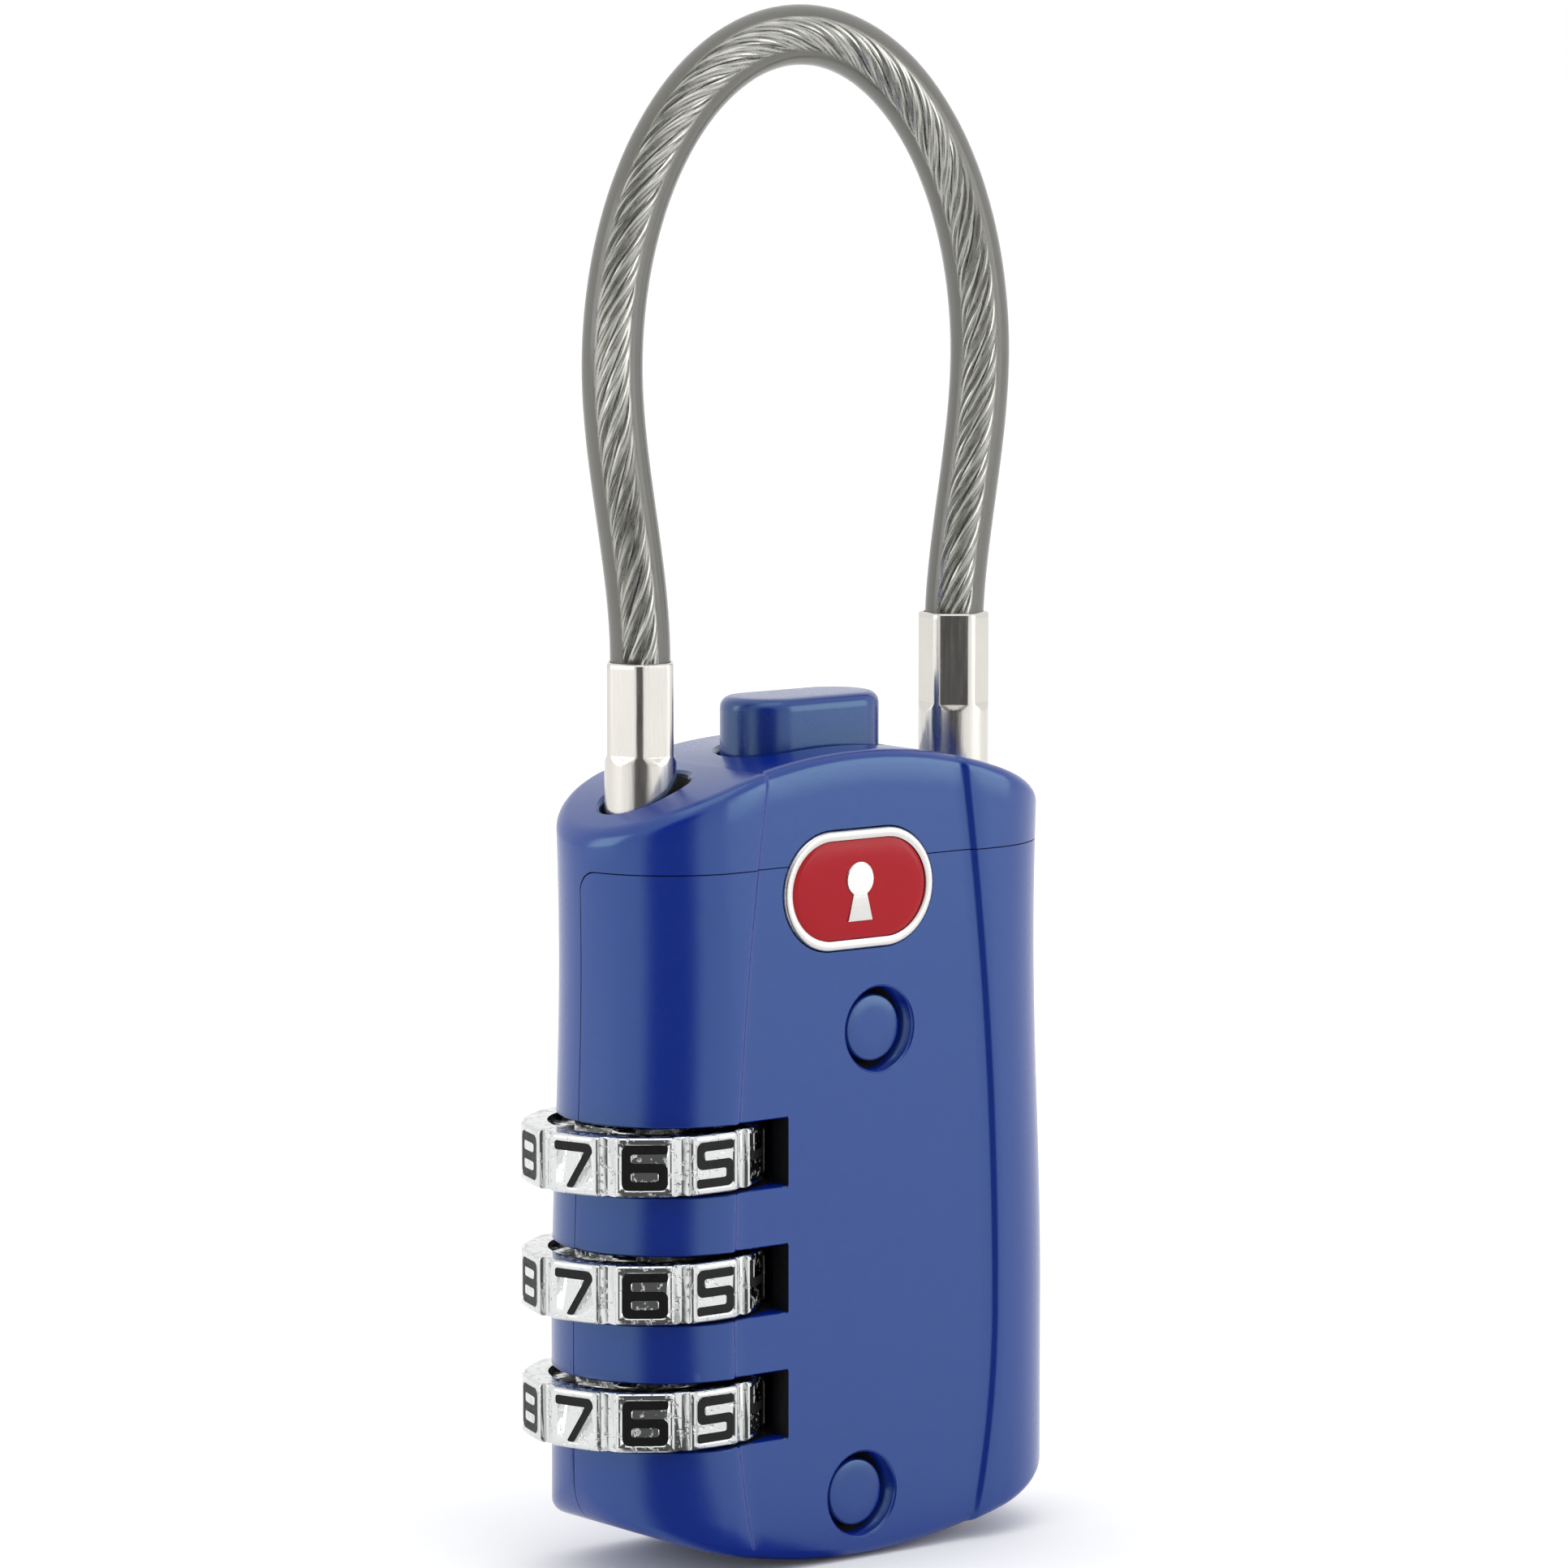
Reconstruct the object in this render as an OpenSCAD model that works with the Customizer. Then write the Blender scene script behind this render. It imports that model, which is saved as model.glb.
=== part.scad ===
// Three-dial luggage padlock with a push button and a plastic-covered wire-rope shackle.
// The lock is drawn standing on z = 0, front towards -Y, and hang() then drops it so
// that the origin is the underside of the shackle's crown, the point it hangs from.

/* [Body] */
// Width across the belly, the widest place
body_w = 31.4; // [28:0.1:38]
// Thickness, front face to rear face
body_t = 12.4; // [12:0.1:16]
// Height at the middle of the arched top
body_h = 44.9; // [44:0.1:54]
// How much lower the arched top is at the sides
top_drop = 4.3; // [2:0.1:6]
// How much higher the arched bottom is at the sides
bottom_rise = 3.5; // [1:0.1:5]
// Radius of the lower corners
corner_r = 2.2; // [1:0.1:4]
// How far each side draws in at the waist
waist_in = 0.6; // [0:0.05:1.2]
// Height of the widest place
belly_z = 13; // [8:0.5:18]
// Height of the waist
waist_z = 34; // [28:0.5:38]
// Depth of the full-thickness cap above the front cover
cap_h = 6; // [5.8:0.1:6.6]
// Gap of the seam between the two castings
seam = 0.06; // [0.02:0.01:0.2]
// Radius of the front cover's two upper corners at the side seam
seam_r = 1.2; // [0.5:0.1:3]

/* [Front panel] */
// Width of the sunken panel where it is widest
panel_w = 17.9; // [14:0.1:20]
// Width of the sunken panel at the top edge
panel_top_w = 12.9; // [10:0.1:17]
// Width of the sunken panel at the bottom edge
panel_bottom_w = 14.6; // [10:0.1:17]
// Depth of the sunken panel
panel_depth = 0.3; // [0.1:0.05:0.5]
// Badge width
badge_w = 10.4; // [8:0.1:11.4]
// Badge height
badge_h = 6.6; // [5:0.1:7]
// Badge plate thickness
badge_t = 0.7; // [0.5:0.05:1]
// How far the badge stands proud of the panel
badge_proud = 0.15; // [0:0.05:0.4]
// Badge centre, sideways
badge_x = -0.5; // [-1:0.1:1]
// Badge rim width
badge_rim = 0.55; // [0.3:0.05:1]

/* [Rivets] */
// Diameter of the counterbore around a rivet head
rivet_recess_d = 4.7; // [4:0.1:6]
// Rivet head diameter
rivet_head_d = 3.7; // [3:0.1:3.9]
// Rivet head thickness
rivet_head_h = 0.7; // [0.4:0.05:1]
// How far the head lies below the panel
rivet_sunk = 0.6; // [0.2:0.05:1]
// Rivet shank diameter
rivet_shank_d = 2.2; // [1.4:0.1:2.6]
// Shank length below the head
rivet_shank_l = 8.2; // [7.4:0.1:8.6]
// Upper rivet, sideways
upper_rivet_x = 1; // [-0.5:0.1:1.4]
// Upper rivet height
upper_rivet_z = 29.4; // [28:0.1:30]
// Lower rivet, sideways
lower_rivet_x = -0.2; // [-1:0.1:1]
// Lower rivet height
lower_rivet_z = 3.5; // [3.3:0.1:4.5]

/* [Dials] */
// Distance between opposite number pads
dial_d = 13.17; // [12.6:0.01:14]
// Dial height
dial_h = 3.28; // [2.8:0.01:3.6]
// Distance from one dial to the next
dial_pitch = 7; // [6.8:0.1:7.8]
// Height of the lowest dial's centre
lowest_dial_z = 9.2; // [9:0.1:10]
// Distance from the body's belly to the dial axis
dial_inset = 4.8; // [4.5:0.1:5.5]
// Width of one number pad
pad_w = 3.14; // [2.4:0.01:3.6]
// Depth of the strips between the pads
pad_step = 0.15; // [0.05:0.01:0.3]
// Gap above and below a dial in its window
window_gap = 0.235; // [0.15:0.005:0.3]
// Distance from the dial axis to the window's inner edge
window_reach = 5.54; // [4.8:0.01:6]
// Gap between a dial's rim and its pocket
dial_gap = 0.35; // [0.2:0.05:0.5]

/* [Combination] */
// Spindle diameter
spindle_d = 2; // [1.6:0.1:2.4]
// Radial running clearance on the spindle and in the dials
run_gap = 0.05; // [0.02:0.01:0.1]
// Sleeve hub diameter inside the dials
hub_d = 5.2; // [4.6:0.1:5.6]
// Sleeve flange diameter
flange_d = 6.6; // [6.2:0.1:7]
// Sleeve flange thickness
flange_h = 0.9; // [0.6:0.05:1.1]
// Gap from a dial's underside to the flange
flange_drop = 0.35; // [0.3:0.05:0.6]
// Sleeve tube diameter below the hub
tube_d = 4; // [3.4:0.1:4.4]
// How far the spindle goes down to free the sleeves from the dials
reset_travel = 1.2; // [1:0.05:1.3]
// Height of the lug that keys a sleeve to its dial
lug_h = 1; // [0.8:0.05:1.1]
// Width of that lug
lug_w = 0.8; // [0.6:0.05:1]
// Fence bar thickness
fence_t = 1; // [0.7:0.05:1.2]
// Fence tooth width
tooth_w = 1; // [0.7:0.05:1.3]
// Depth of a gate in a sleeve's flange
gate_depth = 1; // [0.8:0.05:1.2]
// Thickness of the detent leaf spring
leaf_t = 0.3; // [0.2:0.05:0.4]

/* [Button and latch] */
// Button length
button_w = 9.8; // [9.4:0.1:10.4]
// Button depth, front to back
button_d = 5.2; // [4.6:0.1:5.6]
// How far the button stands above the crest of the body
button_proud = 2.7; // [2.2:0.1:3.4]
// Button travel
button_travel = 2; // [1.6:0.1:2]
// Gap between the button and its hole
button_gap = 0.17; // [0.1:0.01:0.3]
// Latch travel
latch_travel = 3; // [2.6:0.1:3.2]
// Latch bolt thickness
latch_t = 1.4; // [1:0.1:1.5]
// Latch bolt width
latch_w = 4; // [3.6:0.1:4.2]
// General gap between inner parts
gap = 0.2; // [0.1:0.01:0.25]

/* [Shackle] */
// Diameter over the clear sheath
cable_d = 3.3; // [3:0.1:3.4]
// Diameter of the wire rope inside it
core_d = 2; // [1.4:0.1:2.4]
// Diameter of the ferrules
ferrule_d = 3.95; // [3.9:0.01:4.3]
// Distance across the six crimped flats
crimp_d = 3.62; // [3.58:0.01:3.8]
// Direction that one flat of the free ferrule's crimp faces
free_crimp_turn = 22; // [0:1:59]
// Direction that one flat of the fixed ferrule's crimp faces
fixed_crimp_turn = 52; // [0:1:59]
// Distance from the body's belly to a ferrule's axis
ferrule_inset = 4.7; // [4.5:0.1:5.2]
// Height of the free ferrule's mouth above the body's crest
free_mouth = 5.1; // [4:0.1:7]
// Height of the fixed ferrule's mouth above the body's crest
fixed_mouth = 6.6; // [5:0.1:8]
// How far a ferrule reaches below the body's crest
ferrule_reach = 10.9; // [10.5:0.1:11]
// How far the cable goes into a ferrule
socket_l = 4.9; // [3:0.1:5]
// Inside height of the loop, above the body's crest
loop_h = 37.25; // [30:0.25:80]
// Height of the loop's widest place, above the body's crest
loop_belly = 21.1; // [16:0.1:40]
// How far the loop bulges beyond the ferrules on each side
loop_bulge = 1.85; // [0:0.05:4]
// How far the free end lifts out
release_travel = 10; // [9.5:0.1:12]

/* [Key lock] */
// Plug diameter
plug_d = 5.8; // [5:0.1:6.2]
// Plug length
plug_l = 12.7; // [10:0.1:13]
// Distance from the body's belly to the plug's axis
plug_inset = 7.7; // [7:0.1:8.2]
// Keyway width
keyway_w = 0.9; // [0.6:0.05:1.2]
// Number of wafers
wafer_count = 4; // [2:1:5]
// Cam pin distance from the plug's axis
cam_throw = 1.6; // [1.2:0.05:1.7]
// Cam pin diameter
cam_pin_d = 1.2; // [0.8:0.1:1.3]

/* [Hidden] */

$fn = 64;
eps = 0.01;
past = 5;                                  // how far a cut runs past what it cuts
thread = 0.1;                              // gap left where springs and shafts need room
half_w = body_w / 2;
half_t = body_t / 2;
front_y = -half_t;
panel_y = front_y + panel_depth;
cap_z = body_h - cap_h;
crown_z = body_h + loop_h;                 // underside of the shackle's crown
badge_z = cap_z - 1.6;
badge_back = panel_y - badge_proud + badge_t;
enamel_drop = 0.05;                        // how far the enamel lies below the badge's rim
rivet_seat_y = panel_y + rivet_sunk + rivet_head_h;
rivet_tip_gap = 0.2;                       // room beyond a rivet's shank
paint = "#1f3f96";
nickel = "#d5d6d3";
steel = "#a9acae";
brass = "#b99a4e";

// dials
dial_x = -(half_w - dial_inset);
upper_dial_z = lowest_dial_z + 2 * dial_pitch;
window_h = dial_h + 2 * window_gap;
dial_rim_r = norm([dial_d / 2, pad_w / 2]);
strip_r = dial_d / 2 - pad_step;
bore_r = hub_d / 2 + run_gap;
notch_r = bore_r + 0.5;                    // clutch notches in a dial's bore
pad_edge = atan2(pad_w / 2, dial_d / 2) + 0.8;  // from a pad's middle to the strip beside it
face_ring_in = notch_r + 0.6;              // recess in a dial's upper face
face_ring_out = strip_r - 1.2;
face_ring_depth = 0.35;
flange_top = -dial_h / 2 - flange_drop;    // from the dial's centre
flange_low = flange_top - flange_h;
lug_low = 0.25;                            // lug's lower end, from the dial's centre
well_r = flange_d / 2 + gap;
spindle_r = spindle_d / 2;
collar_r = 1.6;
collar_z = upper_dial_z + dial_h / 2 + run_gap;
collar_h = 0.8;
well_top = collar_z + collar_h + 0.55;
spindle_low = lowest_dial_z + flange_low - 2.75;
well_floor = spindle_low + 0.45;
spindle_top = well_top + 3.3;              // also the floor of the free ferrule's hole
spindle_end_gap = 0.15;                    // room below the spindle when it is pressed
stacked_end = dial_h / 2 - dial_pitch + run_gap;    // where a sleeve meets the next one down
lowest_end = flange_low - 0.1;             // where the lowest sleeve meets its spring

// fence and leaf spring, in one pocket beside the dials
gallery_w = 2;
gallery_x0 = dial_x + dial_rim_r - 0.2;
gallery_x1 = gallery_x0 + gallery_w;
gallery_z0 = lowest_dial_z - 4.8;
gallery_z1 = well_top + 3.2;
fence_y = -2.2;                            // centre line of the fence
leaf_w = 1.8;
fence_half = tooth_w / 2 + gap;
tooth_reach = flange_d / 2 + 0.1;          // tooth tip, from the dial axis
gate_floor = flange_d / 2 - gate_depth - 0.35;
nose_r = 0.4;                              // nose of the leaf spring, in a strip
nose_centre = strip_r + nose_r + run_gap;  // from the dial axis
nose_w = 2 * strip_r * sin(18 - pad_edge) - 0.15;
leaf_x = gallery_x1 - 0.8 - leaf_t;

// button and latch
wedge_ratio = latch_travel / button_travel;
flange_t = 0.9;                            // rim that keeps the button in
flange_side = 1;                           // how far the rim stands out, sideways
flange_front = 0.8;                        // and front to back
button_top = body_h + button_proud;
button_skin = 1.6;                         // top of the button above its spring
ledge_z = cap_z + 0.5;                     // floor of the button's well
well_roof = ledge_z + button_travel + flange_t + 2 * gap;
button_foot = well_roof - flange_t - 0.1;
latch_z = cap_z - 1.7;                     // underside of the latch bolt
wedge_low = latch_z - 0.3;
stem_x0 = -3.2;
stem_tip = 0.6;
stem_w = 2.2;
wedge_run = (button_travel + latch_t) * wedge_ratio;
wedge_x = stem_x0 + stem_tip + wedge_run;  // upper end of the stem's slope
spring_x = wedge_x + 1.2;
spring_r = 0.85;
spring_bore_r = spring_r + 0.15;
wire_d = 0.3;
nose_half = 1.2;                           // half width of the latch's nose

// shackle
ferrule_x = half_w - ferrule_inset;
ferrule_low = body_h - ferrule_reach;
mouth_gap = 0.225;                         // clearance round the free ferrule
mouth_slack = 0.6;                         // how much the free hole is lengthened inwards
neck_depth = 0.775;                         // how deep the necks are turned in
neck_r = ferrule_d / 2 - neck_depth;
nose_bite = 0.5;                           // how far the latch's nose overlaps the bead
bead_r = ferrule_d / 2 - 0.05;
bead_h = 1.4;
bead_lead = 0.6;                           // slope under the bead
nose_x = -ferrule_x + bead_r - nose_bite;
nose_root = -ferrule_x + ferrule_d / 2 + mouth_gap + 0.3;
latch_end = stem_x0 + stem_tip + latch_travel + wedge_ratio * latch_t + 0.4;
latch_room = latch_end + latch_travel + 0.3;
spring_end = ferrule_x - ferrule_d / 2 - 0.7;
free_r = ferrule_d / 2 + mouth_gap;
mouth_depth = 5;                           // depth of the free hole's lengthened mouth
neck_top = latch_z + latch_t + 0.8;
free_crimp_low = body_h - 0.3;
fixed_crimp_low = body_h + 1.1;
socket_r = cable_d / 2 + 0.03;
cable_r = cable_d / 2;
loop_a = ferrule_x + loop_bulge;
loop_z = body_h + loop_belly;
loop_b = crown_z + cable_r - loop_z;
leg_z = body_h + free_mouth;
clip_r = 2.9;
clip_t = 0.8;
clip_z = ferrule_low + 1.6;
clip_slack = 0.1;

// key lock
plug_x = half_w - plug_inset;
plug_z = 1.9;
plug_top = plug_z + plug_l;
plug_rim = 0.5;
cam_t = 1;
cam_pin_l = 1.4;
slide_t = 1;
slide_travel = 2 * cam_throw * sin(45);
slide_z = plug_top + cam_t + 0.3;
slide_x1 = plug_x + 1.6;
slide_half = 2.6;
upright_t = 1;
upright_half = 1;
upright_x = ferrule_x - clip_r - 2 * gap - slide_travel - upright_t;
upright_top = latch_z - 0.4;
wafer_t = 0.6;
wafer_half = 1.3;
wafer_gap = 0.05;
plug_flange_t = 1;
keyway_wall = 0.6;                         // plug left at each end of the keyway

// points of an arc about [cx, cz] from angle a0 to a1
function arc(cx, cz, r, a0, a1, n) =
    [for (i = [0:n]) let (a = a0 + (a1 - a0) * i / n) [cx + r * cos(a), cz + r * sin(a)]];

// radius of an arc that falls by drop over a half chord
function arc_r(half, drop) = (half * half + drop * drop) / (2 * drop);

// half width of the body at height z
function side(z) = half_w - (z < belly_z ? 0
    : waist_in * (1 - cos(180 * (z - belly_z) / (waist_z - belly_z))) / 2);

// half width of the sunken panel at height z
function panel_side(z) = let (above = z > belly_z,
    u = above ? (z - belly_z) / (body_h - belly_z) : (belly_z - z) / belly_z,
    end_w = above ? panel_top_w : panel_bottom_w)
    (panel_w - (panel_w - end_w) * u * u) / 2;

// right half of the body's front outline, from the lowest point up to the crest
function half_outline() = let (
    rb = arc_r(half_w, bottom_rise),
    rt = arc_r(half_w, top_drop),
    cx = half_w - corner_r,
    cz = rb - sqrt(pow(rb - corner_r, 2) - cx * cx),
    a = atan2(cz - rb, cx),
    tx = side(body_h - top_drop),
    tz = body_h - rt + sqrt(rt * rt - tx * tx),
    ta = atan2(tz - body_h + rt, tx))
    concat(
        arc(0, rb, rb, -90, a, 12),
        arc(cx, cz, corner_r, a, 0, 8),
        [for (i = [1:15]) let (z = cz + (tz - cz) * i / 16) [side(z), z]],
        arc(0, body_h - rt, rt, ta, 90, 12));

function mirrored(points) = concat(points,
    [for (i = [len(points) - 2:-1:1]) [-points[i][0], points[i][1]]]);

// half width of the loop's leg at height z, vertical where it leaves the ferrule
function leg_x(z) = let (u = max(0, (z - leg_z) / (loop_z - leg_z)))
    ferrule_x + loop_bulge * u * u * (3 - 2 * u);

// centre line of the cable, from the free ferrule over the crown to the fixed one
function cable_path() = let (steps = 8, crown = 24)
    concat(
        [[-ferrule_x, 0, leg_z - socket_l + 0.1]],
        [for (i = [0:steps - 1]) let (z = leg_z + (loop_z - leg_z) * i / steps)
            [-leg_x(z), 0, z]],
        [for (i = [0:crown]) let (a = 180 - 180 * i / crown)
            [loop_a * cos(a), 0, loop_z + loop_b * sin(a)]],
        [for (i = [steps - 1:-1:0]) let (z = leg_z + (loop_z - leg_z) * i / steps)
            [leg_x(z), 0, z]],
        [[ferrule_x, 0, body_h + fixed_mouth - socket_l + 0.1]]);

// centre line of a coil spring standing on z = 0
function coil_path(r, h, turns) = let (n = 14 * turns)
    [for (i = [0:n]) let (a = 360 * turns * i / n) [r * cos(a), r * sin(a), h * i / n]];

function turned(p, a) = [p[0] * cos(a) - p[1] * sin(a), p[0] * sin(a) + p[1] * cos(a)];
function unit(v) = v / norm(v);
function tangent(path, i) =
    unit(path[min(i + 1, len(path) - 1)] - path[max(i - 1, 0)]);

// one ring of a swept tube: side is the direction that the ring's first point lies in
function ring(path, i, side, r, n) = let (t = tangent(path, i),
    b = unit(cross(t, side)), s = cross(b, t))
    [for (k = [0:n - 1]) path[i] + r * (cos(360 * k / n) * s + sin(360 * k / n) * b)];

// a round tube along a path; r_in = 0 makes it a solid rod
module swept(path, sides, r, r_in = 0, n = 12) {
    rings = len(path);
    wall = [for (i = [0:rings - 1]) each ring(path, i, sides[i], r, n)];
    bore = r_in > 0 ? [for (i = [0:rings - 1]) each ring(path, i, sides[i], r_in, n)] : [];
    b0 = rings * n;
    last = (rings - 1) * n;
    skin = [for (i = [0:rings - 2], k = [0:n - 1]) let (j = (k + 1) % n, a = i * n)
        each [[a + k, a + n + k, a + n + j], [a + k, a + n + j, a + j]]];
    lining = [for (f = skin) [b0 + f[2], b0 + f[1], b0 + f[0]]];
    plugs = [[for (k = [0:n - 1]) k], [for (k = [n - 1:-1:0]) last + k]];
    collars = [for (k = [0:n - 1]) let (j = (k + 1) % n)
        each [[k, j, b0 + j, b0 + k], [last + j, last + k, b0 + last + k, b0 + last + j]]];
    polyhedron(concat(wall, bore), r_in > 0 ? concat(skin, lining, collars) : concat(skin, plugs));
}

module coil_spring(r, h, turns) {
    path = coil_path(r - wire_d / 2, h - wire_d, turns);
    sides = [for (p = path) [p[0], p[1], 0]];
    translate([0, 0, wire_d / 2]) swept(path, sides, wire_d / 2, n = 6);
}

module hang() translate([0, 0, -crown_z]) children();

// a box from its lowest and highest corners
module block(lo, hi) translate(lo) cube(hi - lo);

// a cylinder along Z between two heights
module post(x, y, z0, z1, r) translate([x, y, z0]) cylinder(r = r, h = z1 - z0);

// a bar of length w along X with round ends of diameter d, between two heights
module stadium(w, d, z0, z1) {
    for (s = [-1, 1]) post(s * (w - d) / 2, 0, z0, z1, d / 2);
    block([-(w - d) / 2, -d / 2, z0], [(w - d) / 2, d / 2, z1]);
}

// something drawn in a front view (X right, Y up), made solid from y0 to y1
module front_solid(y0, y1)
    translate([0, y1, 0]) rotate([90, 0, 0]) linear_extrude(y1 - y0) children();

module body_block() intersection() {
    front_solid(-half_t, half_t) polygon(mirrored(half_outline()));
    stadium(body_w, body_t, -past, body_h + past);
}

module panel_cut() front_solid(front_y - past, panel_y)
    polygon(mirrored([for (i = [0:24]) let (z = -1 + (body_h + 2) * i / 24) [panel_side(z), z]]));

// the front cover's share of the body: in front of the middle plane and below the cap
module cover_region(back) {
    top = cap_z - back;
    reach = half_w + past;
    block([-reach, front_y - past, -past], [reach, -back, top - seam_r]);
    block([-reach, front_y - past, -past], [reach, -back - seam_r, top]);
    translate([-reach, -back - seam_r, top - seam_r]) rotate([0, 90, 0])
        cylinder(r = seam_r, h = 2 * reach);
}

module along_y(x, z, y0, y1, r)
    translate([x, y1, z]) rotate([90, 0, 0]) cylinder(r = r, h = y1 - y0);

module along_x(x0, x1, z, r)
    translate([x0, 0, z]) rotate([0, 90, 0]) cylinder(r = r, h = x1 - x0);

module at_rivets()
    for (p = [[upper_rivet_x, upper_rivet_z], [lower_rivet_x, lower_rivet_z]])
        translate([p[0], 0, p[1]]) children();

module at_dials()
    for (i = [0:2]) translate([dial_x, 0, lowest_dial_z + i * dial_pitch]) children();

module rivet_cuts() at_rivets() {
    along_y(0, 0, front_y - past, rivet_seat_y, rivet_recess_d / 2);
    along_y(0, 0, rivet_seat_y - eps, rivet_seat_y + rivet_shank_l + rivet_tip_gap, rivet_shank_d / 2);
}

module badge_shape(y0, y1, shrink = 0)
    translate([badge_x, 0, badge_z]) rotate([90, 0, 0])
        stadium(badge_w - 2 * shrink, badge_h - 2 * shrink, -y1, -y0);

module dial_cuts() {
    at_dials() {
        post(0, 0, -window_h / 2, window_h / 2, dial_rim_r + dial_gap);
        block([-half_w, -half_t - past, -window_h / 2], [window_reach, half_t + past, window_h / 2]);
        block([0, fence_y - fence_half, flange_low - reset_travel + 0.3],
              [gallery_x1 - dial_x, fence_y + fence_half, flange_top + 0.3]);
    }
    post(dial_x, 0, well_floor, well_top, well_r);
    post(dial_x, 0, spindle_low - reset_travel - spindle_end_gap, spindle_top + eps,
        spindle_r + run_gap);
    block([gallery_x0, fence_y - 1, gallery_z0], [gallery_x1, leaf_w / 2 + gap, gallery_z1]);
}

module shackle_cuts() {
    post(-ferrule_x, 0, spindle_top, body_h + past, free_r);
    post(-ferrule_x + mouth_slack, 0, body_h - mouth_depth, body_h + past, free_r);
    block([-ferrule_x, -free_r, body_h - mouth_depth],
          [-ferrule_x + mouth_slack, free_r, body_h + past]);
    post(ferrule_x, 0, ferrule_low - clip_slack, body_h + past, ferrule_d / 2 + run_gap);
    post(ferrule_x, 0, clip_z - clip_slack, clip_z + clip_t + clip_slack, clip_r + clip_slack);
}

module latch_cuts() {
    half = latch_w / 2 + gap;
    block([-ferrule_x, -half, latch_z - gap], [latch_room, half, cap_z]);
    along_x(latch_room - eps, spring_end, latch_z + latch_t / 2, spring_bore_r);
    block([stem_x0 - gap, -stem_w / 2 - gap, wedge_low - button_travel - gap],
          [wedge_x + 2 * gap, stem_w / 2 + gap, ledge_z + eps]);
    block([-button_w / 2 - flange_side - gap, -button_d / 2 - flange_front - gap, ledge_z],
          [button_w / 2 + flange_side + gap, button_d / 2 + flange_front + gap, well_roof]);
    stadium(button_w + 2 * button_gap, button_d + 2 * button_gap, well_roof - eps, body_h + past);
}

module key_cuts() {
    post(plug_x, 0, -past, plug_top, plug_d / 2 + run_gap);
    post(plug_x, 0, plug_top - plug_flange_t - gap, slide_z - run_gap,
        plug_d / 2 + plug_rim + gap);
    block([upright_x - gap, -slide_half - gap - 0.1, slide_z - thread],
          [slide_x1 + slide_travel + 2 * gap, slide_half + gap + 0.1, slide_z + slide_t + 0.5]);
    block([upright_x - gap, -upright_half - gap, slide_z],
          [upright_x + upright_t + slide_travel + gap, upright_half + gap, latch_z - gap / 2]);
}

module inner_cuts() {
    panel_cut();
    rivet_cuts();
    badge_shape(front_y - past, badge_back, -0.08);
    dial_cuts();
    shackle_cuts();
    latch_cuts();
    key_cuts();
}

module rear_housing() color(paint) hang() difference() {
    body_block();
    cover_region(0);
    inner_cuts();
}

module front_cover() color(paint) hang() difference() {
    intersection() {
        body_block();
        cover_region(seam);
    }
    inner_cuts();
}

module rivets() color(paint) hang() at_rivets() {
    along_y(0, 0, rivet_seat_y - rivet_head_h, rivet_seat_y, rivet_head_d / 2);
    along_y(0, 0, rivet_seat_y, rivet_seat_y + rivet_shank_l, rivet_shank_d / 2);
}

module badge_plate() color(nickel) hang() difference() {
    badge_shape(badge_back - badge_t, badge_back);
    badge_shape(badge_back - badge_t - eps, badge_back - badge_t / 2, badge_rim);
}

module badge_enamel() color("#b3202c") hang()
    badge_shape(badge_back - badge_t + enamel_drop, badge_back - badge_t / 2, badge_rim);

// a dial about its own centre, with the clutch notches in the upper half of its bore
module dial() difference() {
    translate([0, 0, -dial_h / 2]) linear_extrude(dial_h) polygon([
        for (k = [0:9]) each concat(
            [for (a = [-18, -pad_edge]) strip_r * [cos(36 * k + a), sin(36 * k + a)]],
            [for (y = [-pad_w / 2, pad_w / 2]) turned([dial_d / 2, y], 36 * k)],
            [strip_r * [cos(36 * k + pad_edge), sin(36 * k + pad_edge)]])]);
    rotate_extrude() polygon([
        [0, -dial_h], [notch_r + run_gap, -dial_h], [notch_r + run_gap, lug_low - 0.15],
        [bore_r, lug_low - 0.15], [bore_r, dial_h], [0, dial_h]]);
    for (k = [0:9]) rotate(36 * k - 18)
        block([bore_r - 0.3, -lug_w / 2 - thread, 0], [notch_r, lug_w / 2 + thread, dial_h]);
    rotate_extrude() polygon([
        [face_ring_in, dial_h / 2 - face_ring_depth], [face_ring_out, dial_h / 2 - face_ring_depth],
        [face_ring_out, dial_h], [face_ring_in, dial_h]]);
}

module upper_dial() color(nickel) hang() translate([dial_x, 0, upper_dial_z]) rotate(18) dial();
module middle_dial() color(nickel) hang()
    translate([dial_x, 0, lowest_dial_z + dial_pitch]) rotate(18) dial();
module lower_dial() color(nickel) hang() translate([dial_x, 0, lowest_dial_z]) rotate(18) dial();

// a clutch sleeve about its dial's centre, its tube ending at height tube_end
module sleeve(tube_end) difference() {
    union() {
        post(0, 0, flange_top - eps, dial_h / 2, hub_d / 2);
        post(0, 0, flange_low, flange_top, flange_d / 2);
        post(0, 0, tube_end, flange_low + eps, tube_d / 2);
        block([0, -lug_w / 2, lug_low], [notch_r - thread, lug_w / 2, lug_low + lug_h]);
    }
    post(0, 0, -dial_pitch, dial_h, spindle_r + run_gap);
    block([gate_floor, fence_y - fence_half, flange_low - eps],
          [flange_d, fence_y + fence_half, flange_top + eps]);
}

module upper_sleeve() color(brass) hang()
    translate([dial_x, 0, upper_dial_z]) sleeve(stacked_end);
module middle_sleeve() color(brass) hang()
    translate([dial_x, 0, lowest_dial_z + dial_pitch]) sleeve(stacked_end);
module lower_sleeve() color(brass) hang()
    translate([dial_x, 0, lowest_dial_z]) sleeve(lowest_end);

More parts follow.
